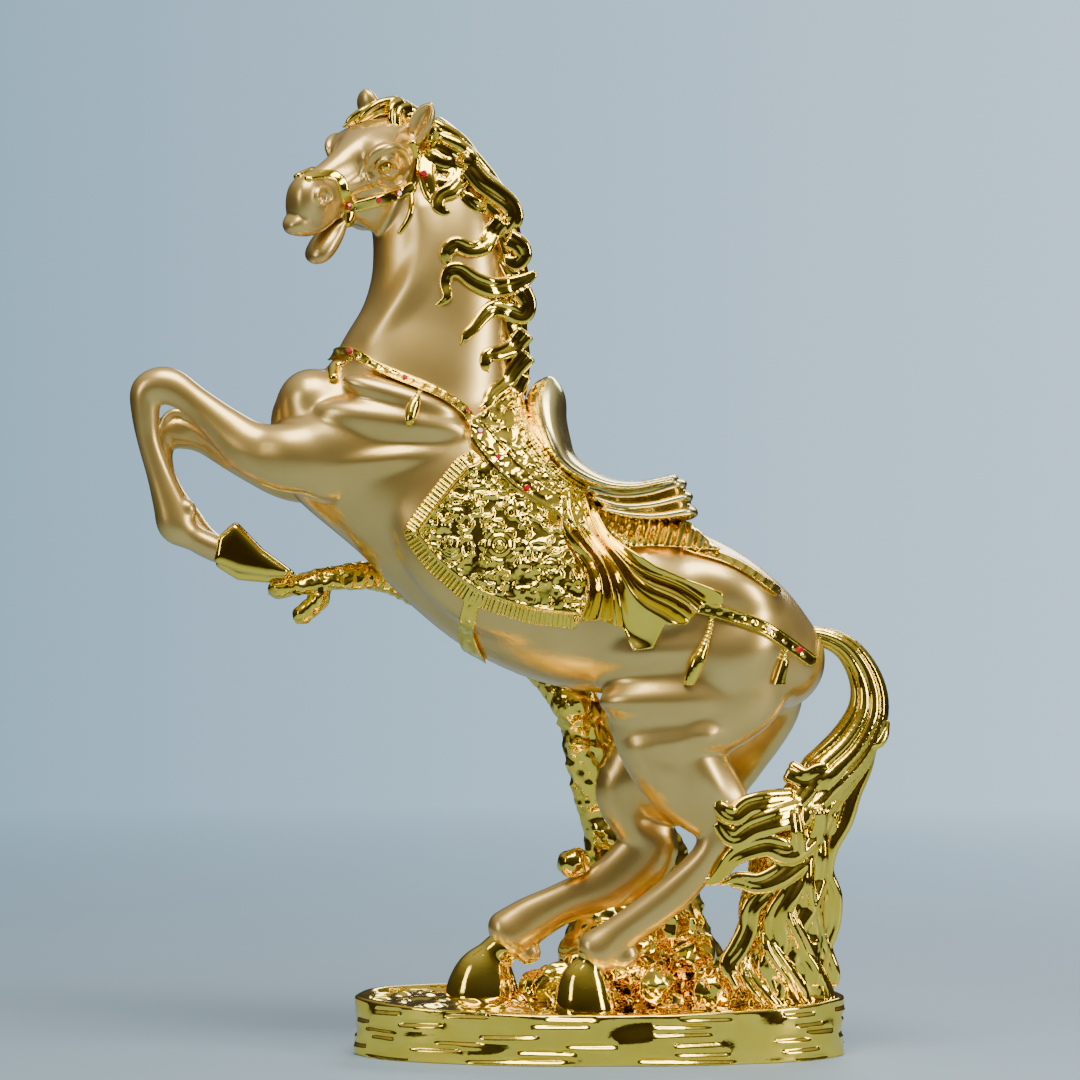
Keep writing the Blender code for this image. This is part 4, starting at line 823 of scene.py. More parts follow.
def layer(skin, outline, distance, rise, blend=1.5):
    """A layer on the coat inside an outline drawn on the sheet, on both sides of the horse."""
    points = np.array([at(x, y, DRAWN_DEPTH)[[0, 2]] for x, y in outline])
    low = (points[:, 0].min() - 12, -150, points[:, 1].min() - 12)
    high = (points[:, 0].max() + 12, 150, points[:, 1].max() + 12)

    def field_of(clay, cuts, places):
        x, z = np.broadcast_arrays(places[0][:, 0, :], places[2][0, :, :])
        height = rise(x, z) if callable(rise) else rise / UNIT
        lifted = skin[cuts] - np.broadcast_to(height, x.shape)[:, None, :]
        return smooth_max(lifted, distance(points, x, z)[:, None, :], blend)

    return low, high, field_of


def wrapped(skin, shape, rise):
    """As much of a shape as lies within a rise over the skin."""
    low, high, plain = shape

    def field_of(clay, cuts, places):
        return smooth_max(skin[cuts] - rise / UNIT, plain(clay, cuts, places), 1.0)

    return low, high, field_of


def slab(outline, depth, half, blend=8.0):
    """A plate with rounded edges, from its outline in the sheet."""
    points = np.array([at(x, y, depth) for x, y in outline])
    low = points.min(0) - 6
    high = points.max(0) + 6
    low[1] = depth - half - 6
    high[1] = depth + half + 6

    def field_of(clay, cuts, places):
        x, z = np.broadcast_arrays(places[0][:, 0, :], places[2][0, :, :])
        flat = outline_distance(points[:, [0, 2]], x, z)[:, None, :]
        return smooth_max(flat, np.abs(places[1] - depth) - half, blend)

    return low, high, field_of


def strands(rows, count, turns, spread=0.66, thick=0.42):
    """Locks that wind round a chain of middles."""
    path = spline(from_middles(rows), 6)
    centres = path[:, :3]
    way = np.gradient(centres, axis=0)
    way /= np.linalg.norm(way, axis=1)[:, None]
    side = np.array([0.0, 1.0, 0.0])
    across = side - way * (way @ side)[:, None]
    across /= np.linalg.norm(across, axis=1)[:, None]
    up = np.cross(way, across)
    share = np.linspace(0, 1, len(centres))
    found = []
    for number in range(count):
        angle = 2 * math.pi * (number / count + turns * share) + 0.35 * np.sin(9 * share + number)
        reach = spread * (1 + 0.16 * np.sin(14 * share + 2.1 * number))
        radius = np.minimum(path[:, 3], path[:, 4]) * thick * (1 + 0.15 * np.sin(11 * share + number))
        offset = up * (np.cos(angle) * path[:, 3] * reach)[:, None]
        offset += across * (np.sin(angle) * path[:, 4] * reach)[:, None]
        found.append(np.column_stack([centres + offset, radius, radius])[::2])
    return found


def tresses(rows, count=3):
    """A lock of hair as strands side by side in the sheet, from rows that end in the half thickness."""
    path = spline(rows, 3)
    way = np.gradient(path[:, :2], axis=0)
    way /= np.maximum(np.linalg.norm(way, axis=1), 1e-6)[:, None]
    share = np.linspace(0, 1, len(path))
    found = []
    for number in range(count):
        place = (number + 0.5) / count * 2 - 1
        wave = place * (1.15 - 0.4 * share) + 0.12 * np.sin(6 * share + 2.4 * number)
        strand = path.copy()
        strand[:, 0] -= way[:, 1] * wave * path[:, -1]
        strand[:, 1] += way[:, 0] * wave * path[:, -1]
        strand[:, -1] *= 0.56 + 0.06 * np.sin(8 * share + number)
        found.append(strand[: len(path) - 2 * abs(number - 1)])
    return found


def bark(angle, run, size):
    ridges = 1.8 * np.sin(3 * angle + run * 0.03)
    ridges = ridges + 1.4 * np.sin(5 * angle - run * 0.07 + 2 * np.sin(run * 0.05))
    return 1.6 - ridges - 1.6 * np.abs(np.sin(4.5 * angle + 0.6 * np.sin(run * 0.09)))


def twig_bark(angle, run, size):
    return 0.8 - 1.3 * np.abs(np.sin(run * 0.28 + np.sin(2 * angle))) - 0.7 * np.sin(3 * angle + run * 0.03)


def combed(angle, run, size):
    """Rounded ridges along a lock of hair, with narrow grooves between them."""
    wave = np.abs(np.sin(2.5 * angle + run * 0.02))
    return 0.30 * size * (1 - wave) ** 2


def folded(angle, run, size):
    """Long grooves that wind slowly round the tail."""
    wave = np.abs(np.sin(4.5 * angle + run * 0.011 + 0.5 * np.sin(run * 0.03)))
    return 0.2 * size * (1 - wave) ** 2


def beaded(angle, run, size):
    """Waists between the beads of a hanging chain."""
    return 0.5 * size * np.cos(run * 0.8) ** 2 * (size < 5)


def roughened(shape, lumps, coarse, fine):
    """A shape with rocky lumps: each is a size and a height."""
    low, high, plain = shape

    def field_of(clay, cuts, places):
        field = plain(clay, cuts, places)
        for size, height in (coarse, fine):
            field = field - height * (1 - 2 * np.abs(lumps.at(places, size)))
        return field

    return low, high, field_of


def drawn(line):
    return np.array([at(x, y, DRAWN_DEPTH)[[0, 2]] for x, y in line])


def pleats(x, z):
    """Rise of the gathered cloth: its folds run from the gather to the hem."""
    left, right = (line_run(drawn(spline(side, 3)), x, z)[0] for side in (DRAPE_LEFT, DRAPE_RIGHT))
    share = left / np.maximum(left + right, 1e-3)
    reach, _ = round_place(DRAPE_LEFT[0], x, z)
    wave = DRAPE_FOLDS * math.pi * (share + 0.05 * np.sin(reach / 24 + 5 * share))
    fold = np.cos(wave) ** 2 + 0.22 * np.cos(3 * wave + 0.7)
    return DRAPE_RISE / UNIT + np.minimum(1.5 + reach / 14, 9) * (fold - 0.4)


def round_place(place, x, z):
    """Distance and angle from a place drawn on the sheet."""
    cx, cz = drawn([place])[0]
    return np.hypot(x - cx, z - cz), np.arctan2(z - cz, x - cx)


def hump(distance, width):
    """1 where a distance is nothing, falling to 0 at a width."""
    return np.clip(1 - np.abs(distance) / width, 0, 1)


def scroll_relief(x, z, row):
    """A raised scroll, from its place, radius and turn."""
    reach, angle = round_place(row[:2], x, z)
    return np.cos(angle * row[3] - reach * 1.15) ** 2 * np.clip((row[2] - reach) / 3, 0, 1)


def foliage(x, z):
    """Curling leaves that fill a ground: 0 between them and 1 on their backs."""
    sheet = [x[:, :1], np.zeros((1, 1)), z[:1]]
    veins = sum(share * (1 - 2.2 * np.abs(ROCK.at(sheet, size))) for size, share in ((11, 0.6), (5.5, 0.4)))
    return np.clip(1.3 * veins[:, 0], 0, 1)


def flap_relief(x, z):
    """Rise of the blanket: a rosette and scrolls on leaves, inside a rim and a combed fringe."""
    edge, run = line_run(drawn(spline(FLAP_EDGE, 4)), x, z)
    fringe = np.abs(np.sin(run * math.pi / FRINGE_STEP + 0.5 * np.sin(run * 0.4)))
    comb = 2.6 + 2.6 * fringe - 1.2 * (1 - edge / FRINGE_WIDTH)
    reach, angle = round_place(ROSETTE[:2], x, z)
    petals = np.clip((ROSETTE[2] * (0.62 + 0.38 * np.abs(np.cos(4 * angle))) - reach) / 3, 0, 1)
    flower = petals * (1.6 + 0.9 * np.cos(reach * 0.75)) + 1.6 * np.clip((5 - reach) / 2, 0, 1)
    scroll = sum(scroll_relief(x, z, row) for row in SCROLLS)
    covered = np.clip(petals + scroll, 0, 1)
    ground = 3.2 + 3.4 * foliage(x, z) * (1 - covered) + flower + 2.2 * scroll
    rim = 5.6 + 1.6 * hump(edge - FRINGE_WIDTH - RIM_WIDTH / 2, RIM_WIDTH / 2)
    return np.where(edge < FRINGE_WIDTH, comb, np.where(edge < FRINGE_WIDTH + RIM_WIDTH, rim, ground))


def band_relief(x, z):
    """Rise of the shoulder band: two rims, scrolls between them and a cord along the saddle."""
    outer, run = line_run(drawn(spline(BAND_LINE, 4)), x, z)
    cord, along = line_run(drawn(spline(SADDLE_CORD, 4)), x, z)
    rims = hump(outer - 3, 1.6) + hump(outer - 21, 1.6)
    strip = (outer > 4) & (outer < 20)
    leaves = 2.2 * foliage(x, z) - 1.2
    carved = np.where(strip, 0.6 * leaves, np.where(outer > 22, leaves, 0))
    rope = hump(cord - 2, 3) * (3.4 + 0.4 * np.sin(along * 1.4)) + hump(cord - 8, 2) * 1.6
    return BLANKET_BAND / UNIT + 1.1 * rims + carved + rope


def rimmed(line, half):
    """Rise of a strap: rims along its edges, and small flowers between them."""

    def rise(x, z):
        edge, run = line_run(line, x, z)
        rims = hump(edge - half + 1.2, 1.2)
        bead = np.hypot((run + 6) % 12 - 6, edge)
        flowers = np.clip((3.2 - bead) / 1.5, 0, 1) * (half > 4)
        return STRAP_RISE / UNIT + 1.1 * rims + 0.9 * flowers

    return rise


def skirt_relief(x, z):
    """Rise of the ribbed skirt behind the saddle."""
    return BLANKET_BAND / UNIT - 1 + 2.2 * np.abs(np.sin((x - 0.35 * z) * math.pi / SKIRT_STEP)) ** 1.5


def base_log(carving=None):
    """An oval slice of log with a raised rim and rough ground."""
    half_length = BASE_LENGTH / UNIT / 2
    half_depth = BASE_DEPTH / UNIT / 2
    rim = BASE_THICKNESS / UNIT
    squareness = 2.25

    def field_of(clay, cuts, places):
        x, y, z = places
        size = ((np.abs(x) / half_length) ** squareness + (np.abs(y) / half_depth) ** squareness) ** (
            1 / squareness
        )
        angle = np.arctan2(y / half_depth, x / half_length)
        side = (size - 1) * np.hypot(x, y) / np.maximum(size, 1e-3)
        side = side + 1.5 * np.sin(5 * angle + 0.7) + np.sin(11 * angle) + 2.2
        side = side + carving(angle, z) if carving else side
        top = rim + BASE_RISE / UNIT * ((np.abs(x) / half_length) ** 2 + 0.6 * y / half_depth)
        flat = [x, y, np.zeros((1, 1, 1))]
        ground = top - 3.5 + 2.6 * ROCK.at(flat, 18) + 1.1 * ROCK.at(flat, 9)
        rim_share = np.clip((side + 11) / 4, 0, 1)
        level = ground + (top - ground) * rim_share
        return smooth_max(smooth_max(side, z - level, 3), -z, 1)

    low = (-half_length - 6, -half_depth - 6, -2)
    return low, (half_length + 6, half_depth + 6, rim + 14), field_of


def model_coat(clay):
    """The bare horse."""
    clay.add(limb(from_edges(TRUNK)))
    clay.add(limb(from_edges(NECK)), 18)
    for rows in (NEAR_HIND_LEG, FAR_HIND_LEG):
        clay.add(limb(from_edges(rows)), 14)
    for rows in (NEAR_FORELEG, FAR_FORELEG):
        clay.add(limb(from_edges(rows)), 12)
    clay.soften(2)
    for side in (-1, 1):
        for x, y, depth, along, across, up, tilt, blend in MUSCLES:
            clay.add(muscle(x, y, side * depth, along, across, up, tilt), blend)
        for rows, blend in RIDGES:
            clay.add(limb(round_rows([(x, y, side * depth, r) for x, y, depth, r in rows]), 4), blend)
    for rows in TENDONS:
        clay.add(limb(round_rows(rows), 4), 2)
    for row in SPURS:
        clay.add(muscle(*row), 6)


def head_block(rows, power=2.3):
    """A form along the face, from its top, bottom and half width at each station."""
    path = spline(rows, 4)
    ends = [on_head(a, u, s) for a, top, low, half, _ in rows for u in (top, low) for s in (-half, half)]

    def field_of(clay, cuts, places):
        along, up, out = from_head(places)
        top, low, half, middle = (np.interp(along, path[:, 0], path[:, k]) for k in range(1, 5))
        rise = up - middle
        tall = np.maximum(np.where(rise > 0, top - middle, middle - low), 1.0)
        size = (np.abs(rise) / tall) ** power + (np.abs(out) / np.maximum(half, 1.0)) ** power
        size = size ** (1 / power)
        field = (size - 1) * np.hypot(rise * HEAD_TALL, out * HEAD_WIDE) / np.maximum(size, 1e-3)
        field = np.where(size < 0.05, -np.minimum(tall, half), field)
        return smooth_max(field, np.maximum(path[0, 0] - along, along - path[-1, 0]), 4)

    return np.min(ends, 0), np.max(ends, 0), field_of


def head_limb(rows):
    """A round form along the head, from rows of along, up, out and the radii up and out."""
    stations = [(*on_head(a, u, s), up * HEAD_TALL, out * HEAD_WIDE) for a, u, s, up, out in rows]
    return limb(stations, 4, CHEEKWARD)


def on_skin(clay, skin, x, y, guess, other, tries):
    """The place on a skin that is drawn at x, y, found from a guess, with another depth off its edge."""
    place = at(x, y, guess)
    for _ in range(tries):
        column = [round((place[n] - clay.low[n]) / clay.step) for n in (0, 2)]
        depth = skin[column[0], column[1]]
        place = at(x, y, other if np.isnan(depth) else depth)
    return place


def on_cheek(head, skin, x, y, side, lift=0):
    """The place on one cheek that is drawn at x, y on the near one."""
    place = on_skin(head, skin, x, y, -20, -20, 3) - np.array([0, lift, 0])
    along, up, out = from_head(place)
    return on_head(along, up, -side * out)


def cheek_line(head, skin, rows, side):
    """A raised line on one cheek, from rows of x, y and half thickness."""
    return limb([(*on_cheek(head, skin, x, y, side), r, r) for x, y, r in rows], 5)


def model_ear(clay, root, middle, tip, opening):
    """A leaf-shaped ear, hollowed on the side that it opens to."""
    root = on_head(*root)
    middle = on_head(*middle)
    tip = on_head(*tip)
    way = unit(opening)
    side = unit(np.cross(tip - root, way))
    upper = middle * 0.4 + tip * 0.6
    leaf = [(*root, 9, 9), (*middle, 8, 12.5), (*upper, 6, 9.5), (*tip, 2, 2.6)]
    inner = [((middle + root) / 2, 6, 7.5), (middle, 7, 10.5), (upper, 6, 8), (tip, 2.5, 2)]
    hollow = [(*(place + way * 6), up * 0.85, out * 0.8) for place, up, out in inner]
    clay.add(limb(leaf, 6, side), 4)
    clay.cut(limb(hollow, 6, side), 2)


def model_head(clay):
    clay.add(head_block(FACE), 10)
    for side in (-1, 1):
        for along, up, out, *radii, blend in CHEEKS:
            clay.add(head_ball(along, up, out * side, *radii), blend)
        clay.add(limb([(*on_head(a, u, s * side), r, r) for a, u, s, r in CHEEK_RIDGE], 3), 8)
    clay.add(head_limb(LOWER_JAW), 6)
    clay.add(head_block(UPPER_LIP, 2.6), 3)
    clay.cut(head_limb(MOUTH), 2)
    skin = clay.skin(-1)
    bare = clay.copy()
    for side in (-1, 1):
        x, y, r = EYE
        clay.cut(ellipsoid(on_cheek(bare, skin, x, y, side, 4), (r + 5, r + 5, r + 3), np.eye(3)), 4)
        for rows in EYE_LINES:
            clay.add(cheek_line(bare, skin, rows, side), 2.5)
        x, y = NOSTRIL
        clay.cut(ellipsoid(on_cheek(bare, skin, x, y, side, 1), (5, 6, 6), np.eye(3)), 3)
        clay.add(cheek_line(bare, skin, NOSTRIL_LINE, side), 1.2)
    for ear in EARS:
        model_ear(clay, *ear)


def model_hooves(clay):
    clay.add(slab(NEAR_FORE_HOOF, -28, 17), 1)
    clay.add(slab(FAR_FORE_HOOF, 14, 17), 1)
    clay.add(limb(from_edges(NEAR_HIND_HOOF), 4), 2)
    clay.add(limb(from_edges(FAR_HIND_HOOF), 4), 2)


def model_tree(clay):
    clay.add(roughened(limb(from_middles(TREE), 6, furrow=bark), ROCK, (21, 3.4), (10, 1.2)), 4)
    for x, y, depth, radius in KNOTS:
        clay.add(roughened(muscle(x, y, depth, radius, radius, radius, 0), ROCK, (21, 4.2), (10, 1.4)), 6)
    clay.add(roughened(limb(from_middles(BRANCH), 5, furrow=twig_bark), ROCK, (11, 1.2), (5, 0.8)), 4)
    clay.add(roughened(limb(from_middles(TWIG), 5, furrow=twig_bark), ROCK, (11, 1.0), (5, 0.6)), 3)


def on_coat(coat, skins, x, y, side, lift):
    """The place on the coat that is drawn at x, y on a side, lifted off it."""
    return on_skin(coat, skins[side], x, y, side * 50, side * 14, 2) + np.array([0, side * lift, 0])


def model_bridle(clay, head):
    """The straps round the head and the eyes, on the finished head."""
    skin = head.skin(-1)
    for side in (-1, 1):
        for rows in BRIDLE:
            clay.add(wrapped(head.field, cheek_line(head, skin, rows, side), STRAP_RISE), 0.5)
        x, y, r = EYE
        clay.add(ellipsoid(on_cheek(head, skin, x, y, side, 1), (r, r, r), np.eye(3)), 0.5)


def model_tack(clay, under, coat, skins):
    """Blanket, drape, straps and tassels, on the coat under them."""
    clay.add(layer(under.field, FLAP, outline_distance, flap_relief), 0.5)
    clay.add(layer(under.field, BAND, outline_distance, band_relief), 0.5)
    clay.add(layer(under.field, SKIRT, outline_distance, skirt_relief), 0.5)
    clay.add(layer(under.field, DRAPE, outline_distance, pleats), 1)
    straps = (
        (BREAST_STRAP, BREAST_STRAP_WIDTH),
        (CRUPPER_STRAP, CRUPPER_STRAP_WIDTH),
        (GIRTH_STRAP, GIRTH_STRAP_WIDTH),
        (CROUP_ROPE, CROUP_ROPE_WIDTH),
    )
    for line, width in straps:
        half = width / UNIT / 2
        path = drawn(spline(line, 4))
        across = lambda points, x, z: line_run(points, x, z)[0] - half
        clay.add(layer(under.field, spline(line, 4), across, rimmed(path, half)), 1)
    for rows in TASSELS:
        for side in (-1, 1):
            beads = [(*on_coat(coat, skins, x, y, side, r * 0.6), r, r) for x, y, r in rows]
            clay.add(limb(beads, 4, furrow=beaded), 1.5)


def model_saddle(clay):
    clay.add(limb(from_middles(SADDLE), 6), 3)
    for rows in CANTLE_FOLDS:
        clay.add(limb(from_middles(rows), 5), 1)


def model_mane(clay, coat, skins):
    crest = [(x, y, z, ru * 0.85, rv * 0.85) for x, y, z, ru, rv in from_middles(MANE_CREST)]
    clay.add(limb(crest, furrow=combed), 4)
    for rows in strands(MANE_CREST, 9, 1.1, 0.7, 0.4):
        clay.add(limb(rows, 2), 1)
    for rows in MANE_LOCKS:
        for side in (-1, 1):
            laid = [(x, y, on_coat(coat, skins, x, y, side, r * 0.7)[1], r) for x, y, r in rows]
            for strand in tresses(laid):
                clay.add(limb(round_rows(strand, 0.8), 2), 0.8)
    for rows in FORELOCKS:
        for strand in tresses(rows):
            clay.add(limb([(*on_head(a, u, s), r, r) for a, u, s, r in strand], 2), 0.8)


def log_bark(angle, z):
    """Short level cuts in staggered rows on the side of the base, each with a lip under it."""
    cut = 2.4 + 0.8 * np.sin(7 * angle + z / 9) + 0.6 * np.sin(13 * angle - z / 7 + 1)
    for row in range(6):
        height = 5 + 8.5 * row + 1.6 * np.sin(3 * angle + 1.7 * row)
        dash = np.sin(angle * (9 + 2 * (row % 3)) + 2.1 * row) + 0.5 * np.sin(angle * 17 + 1.3 * row)
        dash = np.clip(dash * 3 - 0.2, 0, 1)
        groove = 2.6 * np.exp(-(((z - height) / 1.7) ** 2))
        lip = 1.3 * np.exp(-(((z - height + 4) / 1.8) ** 2))
        cut = cut + dash * (groove - lip)
    return cut


def hair_flow(angle, run, size):
    """Wavy grooves down the lower tail."""
    sway = 0.9 * np.sin(run * 0.045 + 2 * np.sin(angle)) + 0.4 * np.sin(run * 0.11 + 3 * angle)
    deep = (1 - np.abs(np.sin(3.5 * angle + sway))) ** 2
    fine = (1 - np.abs(np.sin(9 * angle + 2 * sway + 0.6))) ** 2
    return 0.24 * size * deep + 1.5 * fine


def model_tail(clay):
    top = [row for row in TAIL if row[1] < 800]
    clay.add(limb(from_middles(top), 6, furrow=folded), 3)
    low = [(x, y, z, ru * 0.92, rv * 0.92) for x, y, z, ru, rv in from_middles(TAIL[6:])]
    clay.add(limb(low, 6, furrow=hair_flow), 4)
    for rows in strands(TAIL[7:], 9, 0.25, 0.8, 0.26):
        clay.add(limb(rows, 2, furrow=combed), 3)
    for rows in TAIL_LOCKS:
        for strand in tresses(rows):
            clay.add(limb(round_rows(strand, 0.8), 2), 1)


def placed(name, data):
    """An object in the scene."""
    made = bpy.data.objects.new(name, data)
    bpy.context.scene.collection.objects.link(made)
    return made


def shells(count, faces):
    """A number for each point that is the same all over one closed shell."""
    label = np.arange(count)
    while True:
        lowest = label[faces].min(1)
        merged = label.copy()
        np.minimum.at(merged, faces.ravel(), np.repeat(lowest, faces.shape[1]))
        merged = merged[merged]
        if (merged == label).all():
            return label
        label = merged


def resample(clay, other):
    """The form on another grid."""
    field = clay.field
    for n in range(3):
        spot = np.clip((other.axes[n] - clay.low[n]) / clay.step, 0, field.shape[n] - 1.001)
        cell = np.floor(spot).astype(int)
        share = (spot - cell).astype(np.float32).reshape([-1 if k == n else 1 for k in range(3)])
        field = np.take(field, cell, n) * (1 - share) + np.take(field, cell + 1, n) * share
    return Clay(other.step, other.axes, field)


def refine(clay):
    """The same form on a grid twice as fine."""
    step = clay.step / 2
    field = clay.field
    for axis in range(3):
        first = np.take(field, range(field.shape[axis] - 1), axis)
        after = np.take(field, range(1, field.shape[axis]), axis)
        shape = list(first.shape)
        shape[axis] *= 2
        field = np.stack([first, (first + after) / 2], axis + 1).reshape(shape)
    return Clay(step, [clay.low[n] + step * np.arange(field.shape[n]) for n in range(3)], field)


def slopes(clay, points):
    """Which way the field rises at points between those of the grid."""
    spots = (points - clay.low) / clay.step
    cells = np.clip(np.floor(spots).astype(int), 1, np.array(clay.field.shape) - 3)
    share = spots - cells
    i, j, k = cells.T

    def value(di, dj, dk):
        return clay.field[i + di, j + dj, k + dk]

    grade = np.zeros((len(points), 3))
    for di in (0, 1):
        for dj in (0, 1):
            for dk in (0, 1):
                weight = np.ones(len(points))
                for n, d in enumerate((di, dj, dk)):
                    weight = weight * (share[:, n] if d else 1 - share[:, n])
                grade[:, 0] += weight * (value(di + 1, dj, dk) - value(di - 1, dj, dk))
                grade[:, 1] += weight * (value(di, dj + 1, dk) - value(di, dj - 1, dk))
                grade[:, 2] += weight * (value(di, dj, dk + 1) - value(di, dj, dk - 1))
    return grade / np.maximum(np.linalg.norm(grade, axis=1), 1e-9)[:, None]


def solid(clay, name, finish, side=0):
    """Makes the form a smooth mesh in metres, with normals read from the field, in the statue's place.

    With a side, only what is above (1) or below (-1) the plane between body and head is kept.
    """
    most = MOST[name]
    grid = openvdb.FloatGrid(FAR)
    grid.copyFromArray(np.round(clay.field, 4))
    points, quads = grid.convertToQuads(0.0)
    label = shells(len(points), quads)
    counts = np.bincount(label[quads[:, 0]])
    quads = quads[counts[label[quads[:, 0]]] >= LEAST_SHELL]
    if side:
        heights = points[quads, 2] * clay.step + clay.low[2] - HEAD_CUT
        quads = quads[(side * heights).max(1) > -1.5]
    used, quads = np.unique(quads, return_inverse=True)
    places = (points[used] * clay.step + clay.low) * UNIT
    places[:, 2] = np.maximum(places[:, 2], FLOOR_GAP)
    quads = quads.reshape(-1, 4)
    a, b, c, d = (places[quads[:, n]] for n in range(4))
    if (a * (np.cross(b, c) + np.cross(c, d))).sum() < 0:
        quads = quads[:, ::-1]
    mesh = bpy.data.meshes.new(name)
    mesh.from_pydata(places.tolist(), [], quads.tolist())
    made = placed(name, mesh)
    if 2 * len(quads) > most:
        thin = made.modifiers.new("Thin", "DECIMATE")
        thin.ratio = most / (2 * len(quads))
        graph = bpy.context.evaluated_depsgraph_get()
        mesh = bpy.data.meshes.new_from_object(made.evaluated_get(graph))
        made.modifiers.clear()
        made.data = mesh
    mesh.materials.clear()
    mesh.materials.append(finish)
    mesh.shade_smooth()
    spots = np.empty(len(mesh.vertices) * 3, np.float32)
    mesh.vertices.foreach_get("co", spots)
    mesh.normals_split_custom_set_from_vertices(slopes(clay, spots.reshape(-1, 3) / UNIT).tolist())
    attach(made, "root")
    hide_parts("statue")


def nodes_of(name):
    """A material with its nodes, links, shader and the coordinates of the object."""
    made = bpy.data.materials.new(name)
    made.use_nodes = True
    tree = made.node_tree
    place = tree.nodes.new("ShaderNodeTexCoord").outputs["Object"]
    return made, tree.nodes, tree.links, tree.nodes["Principled BSDF"], place


def noise(nodes, links, scale, detail, coordinate):
    made = nodes.new("ShaderNodeTexNoise")
    made.inputs["Scale"].default_value = scale
    made.inputs["Detail"].default_value = detail
    links.new(coordinate, made.inputs["Vector"])
    return made.outputs["Fac"]


def ramp(nodes, links, factor, stops):
    made = nodes.new("ShaderNodeValToRGB")
    row = made.color_ramp.elements
    while len(row) < len(stops):
        row.new(0.5)
    for element, (place, colour) in zip(row, stops):
        element.position = place
        element.color = (*colour, 1)
    links.new(factor, made.inputs["Fac"])
    return made.outputs["Color"]


def bump(nodes, links, shader, height, strength, distance):
    made = nodes.new("ShaderNodeBump")
    made.inputs["Strength"].default_value = strength
    made.inputs["Distance"].default_value = distance
    links.new(height, made.inputs["Height"])
    links.new(made.outputs["Normal"], shader.inputs["Normal"])


def clouds(nodes, links, tones, scale, detail, place, socket):
    """Two tones that drift into each other."""
    factor = noise(nodes, links, scale, detail, place)
    links.new(ramp(nodes, links, factor, list(zip((0.3, 0.7), tones))), socket)


def pearl_paint():
    made, nodes, links, shader, place = nodes_of("Pearl paint")
    flakes = noise(nodes, links, 2600, 1, place)
    clouds(nodes, links, PEARL_TONES, 26, 3, place, shader.inputs["Base Color"])
    shader.inputs["Metallic"].default_value = 0.85
    shader.inputs["Roughness"].default_value = 0.3
    shader.inputs["Coat Weight"].default_value = 0.5
    shader.inputs["Coat Roughness"].default_value = 0.1
    bump(nodes, links, shader, flakes, 0.05, 0.0002)
    return made


def gold(name, tones, roughness, wobble, grain, relief):
    made, nodes, links, shader, place = nodes_of(name)
    clouds(nodes, links, tones, 60, 4, place, shader.inputs["Base Color"])
    greys = ((roughness,) * 3, (roughness + wobble,) * 3)
    clouds(nodes, links, greys, 180, 3, place, shader.inputs["Roughness"])
    shader.inputs["Metallic"].default_value = 1.0
    bump(nodes, links, shader, noise(nodes, links, grain, 3, place), relief, 0.0008)
    return made


def red_glass():
    made, nodes, links, shader, place = nodes_of("Red glass")
    clouds(nodes, links, RUBY_TONES, 300, 2, place, shader.inputs["Base Color"])
    shader.inputs["Roughness"].default_value = 0.04
    shader.inputs["IOR"].default_value = 1.6
    shader.inputs["Coat Weight"].default_value = 1.0
    shader.inputs["Coat Roughness"].default_value = 0.02
    return made


def share_between(nodes, links, value, start, end):
    """0 to 1 as a value goes from its start to its end."""
    made = nodes.new("ShaderNodeMapRange")
    made.inputs["From Min"].default_value = start
    made.inputs["From Max"].default_value = end
    links.new(value, made.inputs["Value"])
    return made


def floor():
    """A pale round floor that fades out before its edge."""
    mesh = bpy.data.meshes.new("floor")
    shape = bmesh.new()
    bmesh.ops.create_circle(shape, cap_ends=True, segments=96, radius=FLOOR_RADIUS)
    shape.to_mesh(mesh)
    shape.free()
    paint, nodes, links, shader, place = nodes_of("Pale floor")
    reach = nodes.new("ShaderNodeVectorMath")
    reach.operation = "LENGTH"
    links.new(place, reach.inputs[0])
    fade = share_between(nodes, links, reach.outputs["Value"], 0.5, 2.5)
    fade.inputs["To Min"].default_value = 1.0
    fade.inputs["To Max"].default_value = 0.0
    links.new(fade.outputs["Result"], shader.inputs["Alpha"])
    shader.inputs["Base Color"].default_value = (*FLOOR_COLOUR, 1)
    shader.inputs["Roughness"].default_value = 0.6
    mesh.materials.append(paint)
    placed("floor", mesh)


def softbox(name, place, width, height, power, colour):
    light = bpy.data.lights.new(name, "AREA")
    light.shape = "RECTANGLE"
    light.size = width
    light.size_y = height
    light.energy = power
    light.color = colour
    made = placed(name, light)
    made.location = place
    made.rotation_euler = (Vector(LIGHTS_AIM) - Vector(place)).to_track_quat("-Z", "Y").to_euler()


def studio():
    """A pale wall for the camera, a soft room for the reflections, and the lights."""
    world = bpy.data.worlds.new("studio")
    bpy.context.scene.world = world
    world.use_nodes = True
    nodes = world.node_tree.nodes
    links = world.node_tree.links
    wall = nodes["Background"]
    wall.inputs["Strength"].default_value = 1.0
    room = nodes.new("ShaderNodeBackground")
    room.inputs["Strength"].default_value = ROOM_STRENGTH
    way = nodes.new("ShaderNodeSeparateXYZ")
    links.new(nodes.new("ShaderNodeTexCoord").outputs["Generated"], way.inputs[0])
    across = share_between(nodes, links, way.outputs["X"], -WALL_REACH, WALL_REACH).outputs["Result"]
    links.new(ramp(nodes, links, across, list(zip((0.0, 1.0), WALL_TONES))), wall.inputs["Color"])
    links.new(ramp(nodes, links, way.outputs["Z"], ROOM_TONES), room.inputs["Color"])
    seen = nodes.new("ShaderNodeLightPath")
    both = nodes.new("ShaderNodeMixShader")
    links.new(seen.outputs["Is Camera Ray"], both.inputs[0])
    links.new(room.outputs[0], both.inputs[1])
    links.new(wall.outputs[0], both.inputs[2])
    links.new(both.outputs[0], nodes["World Output"].inputs["Surface"])
    for light in LIGHTS:
        softbox(*light)


